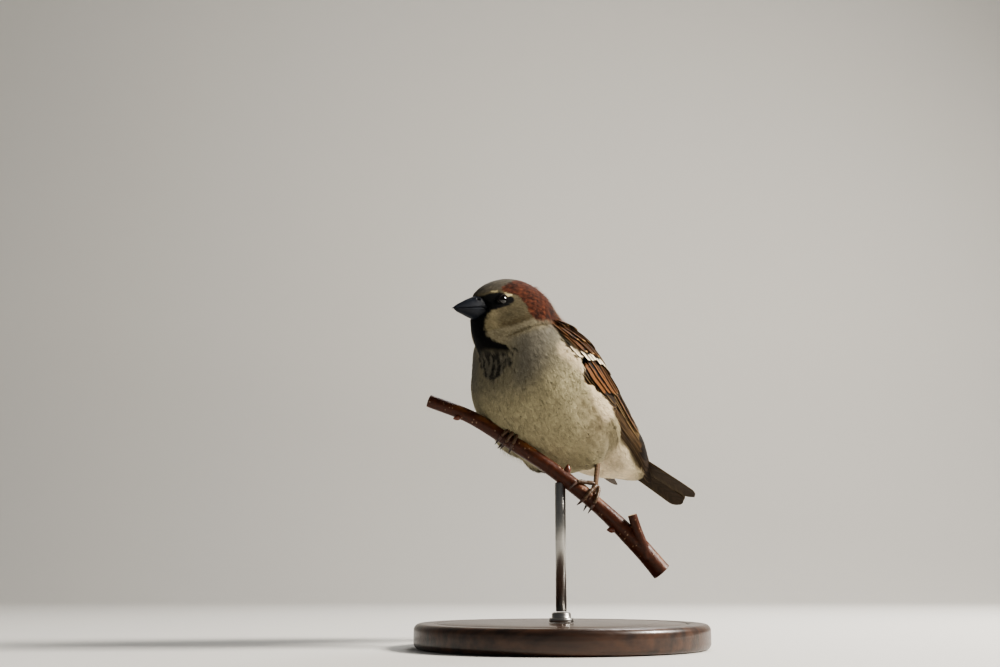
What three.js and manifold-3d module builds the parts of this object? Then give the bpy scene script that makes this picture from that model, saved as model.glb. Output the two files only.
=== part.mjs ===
// A male house sparrow at life size, sitting fluffed up on a short cut length of branch, over a
// plain round display stand. Millimetres, +Z up, origin under the middle of the stand's base.
// The bird looks toward -X and -Y; its tail points toward +X and +Y.
import * as THREE from "three";
import { mergeVertices } from "three/addons/utils/BufferGeometryUtils.js";
import Module from "manifold-3d";

const wasm = await Module();
wasm.setup();

const rad = THREE.MathUtils.degToRad;
const lerp = THREE.MathUtils.lerp;
const vec = (x, y, z) => new THREE.Vector3(x, y, z);

/* ------------------------------------------------------------------ driving sizes */

const GAP = 0.3; // clearance that touching pieces keep
const WING_GAP = 0.35; // and that a wing keeps

// Stand: a turned base with one rod up to the perch.
const BASE = { radius: 60, height: 10, chamfer: 1.5, sides: 36 };
const ROD = { radius: 2.2, sides: 14 };
const COLLAR = { radius: 5, height: 4, chamfer: 0.8, sides: 20 };

// Perch: the branch's axis from its thin end to its thick one, with its radius at each point.
const PERCH_HEIGHT = 70; // axis of the branch above the floor, over the rod
const PERCH_LINE = [
  // x, y, rise above PERCH_HEIGHT, radius
  [-55, 2.5, 31.5, 2.6],
  [-37.6, 1, 24.5, 2.8],
  [-16.6, 0, 11.5, 3.1],
  [0, 0, 0, 3.1],
  [16.4, 0, -13.4, 3.2],
  [31, 0.5, -27.6, 3.7],
  [41.5, 2, -39.5, 4.0],
];

const PERCH_MESH = { steps: 17, sides: 12 };

// The cut stub of its one side shoot, and its buds: place along and round the perch, size, and
// lean toward its thick end.
const STUB = {
  points: [[35.5, 0, 36], [32, -1.6, 45.5], [29.4, -2.4, 53.5]],
  radii: [2.6, 2.1, 1.9],
  sides: 9,
};
const BUDS = [
  { x: 1.5, round: 10, length: 3.6, radius: 1.4, lean: -0.5 },
  { x: -41, round: 150, length: 3.2, radius: 1.2, lean: -0.8 },
  { x: 24, round: 160, length: 3.4, radius: 1.3, lean: -0.6 },
];
const BUD_PROFILE = [[0, 0.75], [0.25, 1], [0.55, 0.9], [0.8, 0.55], [1, 0.2]]; // of length, radius

// Bird: where its body and head are and how they are turned. Yaw is the angle of the forward
// direction from -Y toward -X, pitch is how far that direction rises, roll lifts the left side.
const BODY = { at: [-5.5, 15, 103], yaw: 42, pitch: 34, roll: 0 };
const HEAD = { at: [-21.5, -6, 141], yaw: 55, pitch: -7, roll: 0 };
const TAIL = { at: [20.8, 44.2, 89.7], yaw: 64, pitch: 28, roll: -24 };

// Flesh and small feathers together: egg shapes in a frame, [forward, left, up], that blend.
const BLEND = 7;
const LUMPS = [
  { frame: BODY, at: [7, 0, 0], size: [29, 28, 26] }, // breast
  { frame: BODY, at: [-10, 0, 0], size: [27, 24, 24] }, // belly
  { frame: BODY, at: [4, 0, 7], size: [29, 25, 22] }, // back
  { frame: BODY, at: [-34, 0, 5.5], size: [20, 18, 13] }, // rump
  { frame: BODY, at: [27, 1, 11], size: [20, 19, 17] }, // neck
  { frame: TAIL, at: [-6, -0.5, -4.5], size: [20, 9, 7] }, // tail coverts
  { frame: HEAD, at: [0, 0, 1], size: [14, 10, 10] }, // skull
  { frame: HEAD, at: [9, 0, -1.2], size: [10.5, 4.6, 7.4] }, // face
  { frame: HEAD, at: [6, 0, -9], size: [11, 7.6, 10] }, // throat and cheeks
  { frame: HEAD, at: [-7, 0, -6], size: [12, 11.5, 11] }, // nape
];
const SKIN = { rings: 36, sides: 24, farthest: 70, halvings: 26 };
const CUTS = [
  // the thin cuts that part the flesh, [forward, left, up] of the body: a point and a normal
  { at: [33, 1, 12], normal: [0.9, 0.06, 0.43] }, // head from neck
  { at: [21, 0.5, 7], normal: [0.95, 0, 0.3] }, // neck from torso
];

// Bill in the head's frame. Each row is one section from its root to its tip.
const BILL = [
  // forward, culmen height, mouth height, chin height, half width
  [11, 4.6, -0.9, -7.2, 4.7],
  [14, 4.3, -1.3, -6.9, 4.6],
  [17, 3.7, -1.5, -6.3, 4.1],
  [20, 2.8, -1.5, -5.3, 3.4],
  [23, 1.6, -1.5, -4.0, 2.5],
  [26, 0.3, -1.4, -2.7, 1.4],
  [27.9, -0.7, -1.4, -1.9, 0.6],
];
const BILL_HALVES = {
  tip: [28.7, 0, -1.3],
  overbite: 0.9, // how far the upper half passes the lower one
  mouth: 0.16, // half the slit between them
  pinch: 0.12, // share by which the ridge is narrower than the mouth edge
  sides: 12,
};
const NOSTRIL = { at: [17.2, 2.7, 1.9], radii: [0.9, 0.7, 0.5] };

// Eye in the head's frame, for the left side.
const EYEBALL = { at: [8.4, 6.3, 0.9], radius: 3.2 };
const LIDS = { reach: 2.2, ring: 2.5, thick: 0.55, stretch: [1.12, 0.96] };

// Folded wing, in the body's frame: sections of the hull it lies on.
const HULL = [
  // forward, half width, height, middle height
  [30, 21, 19, 6],
  [12, 28.3, 26.4, 2.5],
  [-10, 26.6, 22.6, 4],
  [-30, 21.9, 16, 7.5],
  [-45, 18, 11.4, 11],
  [-57, 15, 9, 12],
  [-67, 12, 7, 11.5],
  [-82, 8, 5, 11],
];
// Feather rows: how many, root and tip of the first and last as [forward, degrees round the
// hull from its side to its top], half width, and height above the hull at root and tip.
const WING_ROWS = [
  { name: "primaries", count: 5, root: [[-2, 6], [-8, 18]], tip: [[-67, -11], [-52, 20]],
    half: 3.9, lift: [-1.2, 0] },
  { name: "secondaries", count: 4, root: [[0, 8], [0, 32]], tip: [[-47, 16], [-42, 38]],
    half: 4, lift: [0, 0.5] },
  { name: "tertials", count: 3, root: [[-2, 38], [0, 62]], tip: [[-42, 38], [-31, 60]],
    half: 5, lift: [0.4, 1.1] },
  { name: "greater coverts", count: 5, root: [[12, 4], [-4, 50]], tip: [[-7, 2], [-20, 46]],
    half: 4.8, lift: [0.2, 1.1] },
  { name: "median coverts", count: 4, root: [[18, 8], [2, 54]], tip: [[7, 8], [-8, 50]],
    half: 5, lift: [0.6, 1.5] },
  { name: "scapulars", count: 3, root: [[20, 58], [16, 76]], tip: [[-8, 54], [-17, 70]],
    half: 6.4, lift: [0.4, 1.7] },
];
const WING_PAD = { from: 21, to: -22, low: 0, high: 74, top: 0.3, under: -3.2 };
const WING_BED = { ...WING_PAD, top: 7, open: true }; // the hollow in the flesh that holds it
const SLAB = { steps: 9, across: 8, alongPerMm: 1.5, degreesPerMm: 3, poleDepth: -0.8, bulge: 0.3 };
const VANE = {
  stations: [0, 0.45, 0.9, 1],
  widths: [0.5, 1, 0.9, 0.5],
  tipSlim: 0.7, // thickness at the tip, as a share
  root: 0.4, // how far a pole stands out behind the root
  point: 0.3, // and past the tip, in half widths
  thick: 0.6,
  tilt: 7, // degrees that a feather's lower edge rises over the next one
  camber: 0.1,
};

// Tail, in its own frame: pairs of feathers from the middle one on top to the outer one.
const TAIL_FAN = {
  pairs: 5,
  middle: 51.5, // length of the middle pair
  outer: 53, // and of the outer pair
  half: 3.8,
  lift: 1.2, // of the middle pair over the frame's own line
  root: [0.3, 0.3], // sideways place of the middle pair's root, and the step to the next
  tip: [1.3, 0.62], // the same at the tip
  step: 0.62, // how much lower each pair lies than the one before
  camber: 0.25,
  slope: 0.1, // sideways slope of each blade, and how much lower the left of a pair lies
};

// Legs: the knee inside the flesh, the foot's place along the perch, and the ankle's over it.
const LEGS = {
  left: { knee: [18.5, 26, 83.6], foot: 11.2, ankleOut: 2.4 },
  right: { knee: [-19, 12, 102.5], foot: -21.4, ankleOut: 2.0 },
};
const ANKLE = { round: -9.6, ball: [1.5, 1.4, 1.5], neck: [1.35, 1.5], palm: 1.3 };
const TARSUS = { top: 1.5, bottom: 1.05, stations: [0, 0.33, 0.66, 0.93], sides: 10 };
// Toes: shift along the perch at root and tip, degrees round it at root and tip, thickness.
const TOES = {
  left: [
    { along: [-0.5, -5.6], round: [8, 66], thick: 0.85 },
    { along: [0, -0.4], round: [15, 118], thick: 0.95 },
    { along: [0.6, 3.0], round: [10, 104], thick: 0.85 },
    { along: [0, 1.5], round: [-20, -112], thick: 1.0 },
  ],
  right: [
    { along: [-0.5, -2.5], round: [10, 100], thick: 0.85 },
    { along: [0, -0.1], round: [15, 118], thick: 0.95 },
    { along: [0.6, 2.3], round: [10, 104], thick: 0.85 },
    { along: [0, -1.2], round: [-20, -112], thick: 1.0 },
  ],
};
const TOE = {
  steps: 4,
  sides: 6,
  seat: 0.92, // height of its axis over the bark, in thicknesses
  rise: 1.6, // further height at its root, over the first third
  swell: 1.12, // thickness at its root
  taper: 0.05, // lost at each step
  joint: 0.07, // gained at each joint
};
const CLAW = {
  from: 6, // degrees round the perch from the toe's end
  sweep: 46,
  aside: 0.5,
  out: 0.75,
  lift: 1.5,
  radii: [0.62, 0.58, 0.46, 0.3, 0.12],
};

/* ------------------------------------------------------------------ frames and solids */

// The matrix from a frame's own [forward, left, up] to the model.
function frameMatrix({ at, yaw, pitch, roll }) {
  const [cy, sy] = [Math.cos(rad(yaw)), Math.sin(rad(yaw))];
  const [cp, sp] = [Math.cos(rad(pitch)), Math.sin(rad(pitch))];
  const forward = vec(-sy * cp, -cy * cp, sp);
  const left = vec(cy, -sy, 0).applyAxisAngle(forward, -rad(roll));
  const up = forward.clone().cross(left);
  return new THREE.Matrix4().makeBasis(forward, left, up).setPosition(...at);
}
const MATRIX = new Map([BODY, HEAD, TAIL].map((f) => [f, frameMatrix(f)]));
const INVERSE = new Map([...MATRIX].map(([f, m]) => [f, m.clone().invert()]));
const inFrame = (frame, f, l, u) => vec(f, l, u).applyMatrix4(MATRIX.get(frame));

// A closed mesh from rings of points: each ring joins the next, and a pole closes each end.
function closedRings(rings, startPole, endPole) {
  const n = rings[0].length;
  const points = [startPole, ...rings.flat(), endPole];
  const last = points.length - 1;
  const at = (ring, side) => 1 + ring * n + (side % n);
  const index = [];
  for (let s = 0; s < n; s++) index.push(0, at(0, s + 1), at(0, s));
  for (let r = 0; r + 1 < rings.length; r++)
    for (let s = 0; s < n; s++) {
      const [a, b, c, d] = [at(r, s), at(r, s + 1), at(r + 1, s + 1), at(r + 1, s)];
      index.push(a, b, c, a, c, d);
    }
  for (let s = 0; s < n; s++) index.push(last, at(rings.length - 1, s), at(rings.length - 1, s + 1));
  const geometry = new THREE.BufferGeometry().setFromPoints(points);
  geometry.setIndex(index);
  return geometry;
}

// A geometry as a manifold-3d solid, with its shared vertices merged, turned to face out.
function solid(geometry) {
  const bare = geometry.clone();
  bare.deleteAttribute("normal");
  bare.deleteAttribute("uv");
  const merged = mergeVertices(bare, 1e-3);
  const make = (triVerts) =>
    new wasm.Manifold(
      new wasm.Mesh({ numProp: 3, vertProperties: merged.attributes.position.array, triVerts }),
    );
  const made = make(new Uint32Array(merged.index.array));
  if (made.volume() > 0) return made;
  return make(new Uint32Array(merged.index.array).reverse());
}

const union = (solids) => wasm.Manifold.union(solids);

function geometryOf(s) {
  const { vertProperties, triVerts, numProp } = s.getMesh();
  const position = new Float32Array((vertProperties.length / numProp) * 3);
  for (let i = 0; i < position.length / 3; i++)
    position.set(vertProperties.subarray(i * numProp, i * numProp + 3), i * 3);
  const geometry = new THREE.BufferGeometry();
  geometry.setAttribute("position", new THREE.BufferAttribute(position, 3));
  geometry.setIndex(new THREE.BufferAttribute(triVerts, 1));
  return geometry;
}

// The largest closed surface of a solid, so without loose pieces and sealed hollows. Merging
// points can part it again, so this repeats until one surface is left.
function largest(s) {
  for (let i = 0; i < 8; i++) {
    const bodies = s.decompose();
    if (i > 0 && bodies.length === 1) return geometryOf(s);
    s = solid(geometryOf(bodies.reduce((a, b) => (b.volume() > a.volume() ? b : a))));
  }
  return geometryOf(s);
}

const group = new THREE.Group();
function addMesh(name, s, material) {
  const geometry = largest(s);
  geometry.computeVertexNormals();
  const mesh = new THREE.Mesh(geometry, material);
  mesh.name = name;
  group.add(mesh);
}

const finish = (color, roughness, metalness = 0) =>
  new THREE.MeshStandardMaterial({ color, roughness, metalness });
const PLUMAGE = finish(0x9a9183, 0.9);
const WING = finish(0x6b4328, 0.8);
const HORN = finish(0x1c1d20, 0.4);
const EYE = finish(0x0c0806, 0.05);
const LEG = finish(0x8f6252, 0.6);
const BARK = finish(0x5a3226, 0.65);
const WOOD = finish(0x2e2622, 0.5);
const METAL = finish(0x8d8a84, 0.35, 0.9);

// A ball or egg, with its own [x, y, z] radii, turned and placed by a matrix.
function egg(radii, matrix, detail = 16) {
  const g = new THREE.SphereGeometry(1, detail, Math.round(detail * 0.75));
  return solid(g.scale(...radii).applyMatrix4(matrix));
}

/* ------------------------------------------------------------------ flesh */

// Signed distance, nearly, from the surface that the lumps make together.
function bodyField(p) {
  let d = Infinity;
  for (const lump of LUMPS) {
    const q = p.clone().applyMatrix4(INVERSE.get(lump.frame)).sub(vec(...lump.at));
    const k0 = vec(q.x / lump.size[0], q.y / lump.size[1], q.z / lump.size[2]).length();
    const k1 = vec(q.x / lump.size[0] ** 2, q.y / lump.size[1] ** 2, q.z / lump.size[2] ** 2).length();
    const e = k1 < 1e-9 ? -Math.min(...lump.size) : (k0 * (k0 - 1)) / k1;
    const h = Math.max(BLEND - Math.abs(d - e), 0) / BLEND;
    d = d === Infinity ? e : Math.min(d, e) - h * h * BLEND * 0.25;
  }
  return d;
}

// The body's middle line, from inside the head to inside the rump. Rays leave it for the
// surface: a fan over the head from the bill's direction, level rings across the neck and
// body, and a fan that closes over the tail coverts.
const MIDDLE = [
  { frame: HEAD, at: [-1, 0, -2] },
  { frame: BODY, at: [30, 1, 11] },
  { frame: BODY, at: [10, 0, 2] },
  { frame: BODY, at: [-14, 0, 0] },
  { frame: BODY, at: [-34, 0, 4] },
];
const HEAD_SHARE = 0.3; // share of the way along that is the head's fan
const TAIL_SHARE = 0.2; // and the tail coverts' fan
const MIDDLE_CURVE = new THREE.CatmullRomCurve3(
  MIDDLE.map((m) => inFrame(m.frame, ...m.at)),
  false,
  "centripetal",
);
const axisOf = (frame, f, l, u) => vec(f, l, u).transformDirection(MATRIX.get(frame));

// Turns direction a toward direction b by a share of the angle between them.
function between(a, b, share) {
  const angle = a.angleTo(b);
  const [wa, wb] = [Math.sin((1 - share) * angle), Math.sin(share * angle)];
  return a.clone().multiplyScalar(wa).addScaledVector(b, wb).normalize();
}

// The ray for u along the body and v round it, from the belly over the left side.
function rayAt(u, v) {
  const round = 2 * Math.PI * v;
  const ring = axisOf(BODY, 0, Math.sin(round), -Math.cos(round));
  if (u < HEAD_SHARE) {
    const ray = between(axisOf(HEAD, 1, 0, 0), ring, u / HEAD_SHARE);
    return { centre: MIDDLE_CURVE.getPoint(0), ray };
  }
  if (u > 1 - TAIL_SHARE) {
    const ray = between(ring, axisOf(TAIL, -1, 0, 0), (u - 1 + TAIL_SHARE) / TAIL_SHARE);
    return { centre: MIDDLE_CURVE.getPoint(1), ray };
  }
  const along = (u - HEAD_SHARE) / (1 - HEAD_SHARE - TAIL_SHARE);
  return { centre: MIDDLE_CURVE.getPoint(along), ray: ring };
}

// The point of the surface at distance level outside the flesh, on the ray for (u, v).
function bodyPoint(u, v, level = 0) {
  const { centre, ray } = rayAt(u, v);
  let [inside, outside] = [0, SKIN.farthest];
  for (let i = 0; i < SKIN.halvings; i++) {
    const t = (inside + outside) / 2;
    if (bodyField(centre.clone().addScaledVector(ray, t)) < level) inside = t;
    else outside = t;
  }
  return centre.clone().addScaledVector(ray, inside);
}

function bodySolid(level) {
  const rings = [];
  for (let r = 1; r < SKIN.rings; r++) {
    const u = r / SKIN.rings;
    rings.push(
      Array.from({ length: SKIN.sides }, (_, s) => bodyPoint(u, s / SKIN.sides, level)),
    );
  }
  return solid(closedRings(rings, bodyPoint(0, 0, level), bodyPoint(1, 0, level)));
}

const flesh = bodySolid(0);

/* ------------------------------------------------------------------ perch */

// A tube with round ends along points, with a radius at each.
function tube(points, radii, sides, ends = "round") {
  const tangents = points.map((p, i) =>
    points[Math.min(i + 1, points.length - 1)].clone().sub(points[Math.max(i - 1, 0)]).normalize(),
  );
  let normal = Math.abs(tangents[0].z) > 0.9 ? vec(0, 1, 0) : vec(0, 0, 1);
  const rings = points.map((p, i) => {
    normal = normal.clone().addScaledVector(tangents[i], -normal.dot(tangents[i])).normalize();
    const across = tangents[i].clone().cross(normal);
    return Array.from({ length: sides }, (_, s) => {
      const a = (2 * Math.PI * s) / sides;
      return p
        .clone()
        .addScaledVector(normal, radii[i] * Math.cos(a))
        .addScaledVector(across, radii[i] * Math.sin(a));
    });
  });
  const reach = ends === "round" ? 0.6 : 0;
  const n = points.length - 1;
  const start = points[0].clone().addScaledVector(tangents[0], -radii[0] * reach);
  const end = points[n].clone().addScaledVector(tangents[n], radii[n] * reach);
  return solid(closedRings(rings, start, end));
}

const perchCurve = new THREE.CatmullRomCurve3(
  PERCH_LINE.map(([x, y, rise]) => vec(x, y, PERCH_HEIGHT + rise)),
);
function perchRadius(t) {
  const f = t * (PERCH_LINE.length - 1);
  const i = Math.min(Math.floor(f), PERCH_LINE.length - 2);
  return lerp(PERCH_LINE[i][3], PERCH_LINE[i + 1][3], f - i);
}
function perchSolid(extra) {
  const ts = Array.from({ length: PERCH_MESH.steps + 1 }, (_, i) => i / PERCH_MESH.steps);
  return tube(
    ts.map((t) => perchCurve.getPoint(t)),
    ts.map((t) => perchRadius(t) + extra),
    PERCH_MESH.sides,
    "flat",
  );
}

/* ------------------------------------------------------------------ legs, feet and claws */

// A point beside the perch: t is the model's x there, round the angle from its top over the
// side toward -Y, out the distance from its axis.
function perchAt(x, round, out) {
  let [low, high] = [0, 1];
  for (let i = 0; i < 30; i++) {
    const t = (low + high) / 2;
    if (perchCurve.getPoint(t).x < x) low = t;
    else high = t;
  }
  const centre = perchCurve.getPoint(low);
  const along = perchCurve.getTangent(low);
  const front = vec(0, -1, 0).addScaledVector(along, along.y).normalize();
  const up = along.clone().cross(front).multiplyScalar(-1);
  const a = rad(round);
  const radius = perchRadius(low);
  return centre
    .addScaledVector(up, (radius + out) * Math.cos(a))
    .addScaledVector(front, (radius + out) * Math.sin(a));
}

const perchClear = perchSolid(GAP);
const ankleOf = (leg) => perchAt(leg.foot, ANKLE.round, leg.ankleOut);
function legTube(leg, extra) {
  const [knee, ankle] = [vec(...leg.knee), ankleOf(leg)];
  const points = TARSUS.stations.map((t) => knee.clone().lerp(ankle, t));
  const radii = TARSUS.stations.map((t) => lerp(TARSUS.top, TARSUS.bottom, t) + extra);
  return tube(points, radii, TARSUS.sides);
}
function toeTube(leg, toe, extra) {
  const ts = Array.from({ length: TOE.steps + 1 }, (_, i) => i / TOE.steps);
  const points = ts.map((t) => {
    const shift = lerp(toe.along[0], toe.along[1], Math.sqrt(t));
    const rise = TOE.rise * Math.max(1 - 3 * t, 0);
    return perchAt(leg.foot + shift, lerp(...toe.round, t), GAP + toe.thick * TOE.seat + rise);
  });
  const radii = ts.map(
    (_, i) => toe.thick * (TOE.swell - TOE.taper * i + (i % 2) * TOE.joint) + extra,
  );
  return tube(points, radii, TOE.sides, extra ? "round" : "flat");
}
function footSolid(leg, toes, extra) {
  const ankle = ankleOf(leg);
  const ball = egg(
    ANKLE.ball.map((r) => r + extra),
    new THREE.Matrix4().setPosition(ankle),
    8,
  );
  const neck = tube([ankle, perchAt(leg.foot, 0, ANKLE.palm)], ANKLE.neck.map((r) => r + extra), 8);
  return union([ball, neck, ...toes.map((toe) => toeTube(leg, toe, extra))]);
}
function clawSolid(leg, toe, extra) {
  const way = Math.sign(toe.round[1]);
  const aside = Math.sign(toe.along[1] - toe.along[0]) * CLAW.aside;
  const points = CLAW.radii.map((_, i) => {
    const t = i / (CLAW.radii.length - 1);
    const round = toe.round[1] + way * (CLAW.from + CLAW.sweep * t);
    return perchAt(leg.foot + toe.along[1] + aside * t, round, GAP + CLAW.out + CLAW.lift * t * t);
  });
  return tube(points, CLAW.radii.map((r) => r + extra), TOE.sides, extra ? "round" : "flat");
}

const legClear = union(
  Object.entries(LEGS).flatMap(([side, leg]) => [
    legTube(leg, GAP),
    footSolid(leg, TOES[side], GAP),
    ...TOES[side].map((toe) => clawSolid(leg, toe, GAP)),
  ]),
);

/* ------------------------------------------------------------------ bill and eyes */

// One half of the bill, from the mouth line to its outer edge: up for the upper, down for the
// lower. outer is the place in each row of the edge's height.
function billHalf(outer, sign) {
  const { tip, overbite, mouth: slit, pinch, sides } = BILL_HALVES;
  const rings = BILL.map((row) => {
    const [f, , mouth, , half] = row;
    const edge = mouth + sign * slit;
    const height = Math.max(Math.abs(row[outer] - edge), 0.12);
    return Array.from({ length: sides }, (_, s) => {
      const a = (2 * Math.PI * s) / sides;
      const arch = Math.max(Math.sin(a), 0);
      const l = half * Math.cos(a) * (1 - pinch * arch);
      return inFrame(HEAD, f, l, edge + sign * arch ** 0.9 * height);
    });
  });
  const [f0, , mouth] = BILL[0];
  const root = inFrame(HEAD, f0 - 0.5, 0, mouth + sign * (slit + 1));
  const end = [tip[0] - (sign < 0 ? overbite : 0), 0, tip[2] + sign * (slit + 0.05)];
  return solid(closedRings(rings, root, inFrame(HEAD, ...end)));
}

const headMatrix = MATRIX.get(HEAD);
function placed(at, side) {
  return headMatrix.clone().multiply(new THREE.Matrix4().setPosition(at[0], at[1] * side, at[2]));
}
const SIDES = { left: 1, right: -1 };
const eyeball = (side, extra) =>
  egg(Array(3).fill(EYEBALL.radius + extra), placed(EYEBALL.at, side), 12);
function lids(side) {
  const ring = new THREE.TorusGeometry(LIDS.ring, LIDS.thick, 5, 16);
  ring.scale(...LIDS.stretch, 1);
  ring.rotateX(Math.PI / 2);
  const at = [EYEBALL.at[0], EYEBALL.at[1] + LIDS.reach, EYEBALL.at[2]];
  return solid(ring.applyMatrix4(placed(at, side)));
}

/* ------------------------------------------------------------------ vanes, wings and tail */

// One feather: a thin cambered blade along a path, [point, side direction, normal] at each t.
function blade(path, half, thick, camber) {
  const rings = VANE.stations.map((t, i) => {
    const { at, side, normal } = path(t);
    const w = half * VANE.widths[i];
    const slim = i === VANE.stations.length - 1 ? VANE.tipSlim : 1;
    const place = (k, face) =>
      at
        .clone()
        .addScaledVector(side, w * k)
        .addScaledVector(normal, camber * (1 - k * k) + (face * thick * slim) / 2);
    return [...[-1, 0, 1].map((k) => place(k, 1)), ...[1, 0, -1].map((k) => place(k, -1))];
  });
  const [first, last] = [path(0), path(1)];
  const start = first.at.clone().addScaledVector(first.along, -VANE.root);
  const end = last.at.clone().addScaledVector(last.along, VANE.point * half);
  return solid(closedRings(rings, start, end));
}

function hullAt(f, degrees, lift) {
  let i = 0;
  while (i + 2 < HULL.length && HULL[i + 1][0] > f) i++;
  const t = (HULL[i][0] - f) / (HULL[i][0] - HULL[i + 1][0]);
  const smooth = (k) => {
    const at = (j) => HULL[Math.min(Math.max(j, 0), HULL.length - 1)][k];
    const [a, b, c, d] = [at(i - 1), at(i), at(i + 1), at(i + 2)];
    return b + 0.5 * t * (c - a + t * (2 * a - 5 * b + 4 * c - d + t * (3 * (b - c) + d - a)));
  };
  const [w, h, middle] = [smooth(1), smooth(2), smooth(3)];
  const b = rad(degrees);
  return inFrame(BODY, f, (w + lift) * Math.cos(b), middle + (h + lift) * Math.sin(b));
}

function hullPath(root, tip, lift) {
  return (t) => {
    const point = (s) => hullAt(lerp(root[0], tip[0], s), lerp(root[1], tip[1], s), lerp(...lift, s));
    const at = point(t);
    const along = point(t + 0.02).sub(point(t - 0.02)).normalize();
    const [f, b] = [lerp(root[0], tip[0], t), lerp(root[1], tip[1], t)];
    const round = hullAt(f, b + 2, 0).sub(hullAt(f, b - 2, 0)).normalize();
    const normal = along.clone().cross(round).normalize();
    const outward = hullAt(f, b, 1).sub(hullAt(f, b, 0));
    if (normal.dot(outward) < 0) normal.negate();
    normal.applyAxisAngle(along, rad(VANE.tilt) * Math.sign(along.dot(normal.clone().cross(round))));
    const side = normal.clone().cross(along).normalize();
    return { at, side, normal, along };
  };
}

function wingRow(row) {
  return Array.from({ length: row.count }, (_, i) => {
    const t = row.count > 1 ? i / (row.count - 1) : 0;
    const pick = (pair) => [lerp(pair[0][0], pair[1][0], t), lerp(pair[0][1], pair[1][1], t)];
    const path = hullPath(pick(row.root), pick(row.tip), row.lift);
    return blade(path, row.half, VANE.thick, VANE.camber);
  });
}

// A slab of the hull, thinner toward its front and back ends, from under it to over it. open is
// one that cuts: it keeps its full height over the hull. grow widens it on every side.
function hullSlab({ from, to, low, high, top, under, open = false }, grow) {
  const [front, back] = [from + grow * SLAB.alongPerMm, to - grow * SLAB.alongPerMm];
  const [bottom, crest] = [low - grow * SLAB.degreesPerMm, high + grow * SLAB.degreesPerMm];
  const rings = Array.from({ length: SLAB.steps + 1 }, (_, i) => {
    const f = lerp(front, back, i / SLAB.steps);
    const slim = Math.sin(Math.PI * Math.min(Math.max(i / SLAB.steps, 0.06), 0.94)) ** 0.5;
    const upper = Array.from({ length: SLAB.across + 1 }, (_, j) =>
      hullAt(f, lerp(bottom, crest, j / SLAB.across), open ? top : top * slim),
    );
    const lower = Array.from({ length: SLAB.across - 1 }, (_, j) =>
      hullAt(f, lerp(crest, bottom, (j + 1) / SLAB.across), under * slim - grow),
    );
    return [...upper, ...lower];
  });
  const middle = (low + high) / 2;
  const pole = (f) => hullAt(f, middle, SLAB.poleDepth);
  return solid(closedRings(rings, pole(front + SLAB.bulge), pole(back - SLAB.bulge)));
}

function mirrored(s) {
  const flip = new THREE.Matrix4().makeScale(1, -1, 1);
  const m = MATRIX.get(BODY).clone().multiply(flip).multiply(INVERSE.get(BODY));
  return s.transform(m.elements.slice());
}

const clearOfFlesh = bodySolid(GAP);
const wingRoom = hullSlab(WING_BED, WING_GAP);
const besideBed = clearOfFlesh.subtract(hullSlab(WING_BED, 0));

function tailBlade(pair, side, extra = 0) {
  const { middle, outer, pairs, half, lift, root, tip, step, camber, slope } = TAIL_FAN;
  const reach = lerp(middle, outer, Math.sin((Math.PI * pair) / (2 * pairs)));
  const from = [4, side * (root[0] + root[1] * pair), lift - step * pair];
  const to = [-reach, side * (tip[0] + tip[1] * pair), lift - step * pair - slope * side];
  const path = (t) => {
    const at = inFrame(TAIL, ...from.map((a, k) => lerp(a, to[k], t)));
    const along = inFrame(TAIL, ...to).sub(inFrame(TAIL, ...from)).normalize();
    const normal = axisOf(TAIL, 0, slope * side, 1);
    return { at, along, normal, side: normal.clone().cross(along).normalize() };
  };
  return blade(path, half + extra, VANE.thick + 2 * extra, camber);
}
function tailFan(extra) {
  const blades = [];
  for (let pair = 0; pair <= TAIL_FAN.pairs; pair++)
    for (const side of [1, -1]) blades.push(tailBlade(pair, side, extra));
  return union(blades);
}

const wingLeft = union([hullSlab(WING_PAD, 0), ...WING_ROWS.flatMap(wingRow)])
  .subtract(besideBed)
  .subtract(tailFan(WING_GAP));

/* ------------------------------------------------------------------ the nodes */

// A slab of the clearance's thickness, to part the flesh.
function slab({ at, normal }) {
  const n = axisOf(BODY, ...normal);
  const turn = new THREE.Quaternion().setFromUnitVectors(vec(0, 0, 1), n);
  const m = new THREE.Matrix4().compose(inFrame(BODY, ...at), turn, vec(1, 1, 1));
  return solid(new THREE.BoxGeometry(120, 120, GAP + 0.02).applyMatrix4(m));
}
const eyes = [1, -1];
const openings = union([
  perchClear,
  legClear,
  wingRoom,
  mirrored(wingRoom),
  ...eyes.map((side) => eyeball(side, GAP)),
]);
const whole = union([flesh, ...eyes.map(lids)]).subtract(openings);
const parted = CUTS.map(slab).reduce((s, cut) => s.subtract(cut), whole);
const inOrder = parted
  .decompose()
  .sort((a, b) => b.volume() - a.volume())
  .slice(0, 3);
const heightOf = (s) => s.boundingBox().max[2];
const [head, neck, torso] = inOrder.sort((a, b) => heightOf(b) - heightOf(a));
addMesh("head", head, PLUMAGE);
addMesh("neck", neck, PLUMAGE);
addMesh("torso", torso, PLUMAGE);

const nostrils = union(eyes.map((side) => egg(NOSTRIL.radii, placed(NOSTRIL.at, side), 10)));
addMesh("bill_upper", billHalf(1, 1).subtract(clearOfFlesh).subtract(nostrils), HORN);
addMesh("bill_lower", billHalf(3, -1).subtract(clearOfFlesh), HORN);
addMesh("wing_left", wingLeft, WING);
addMesh("wing_right", mirrored(wingLeft), WING);
addMesh("tail", tailFan(0).subtract(clearOfFlesh), WING);

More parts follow.
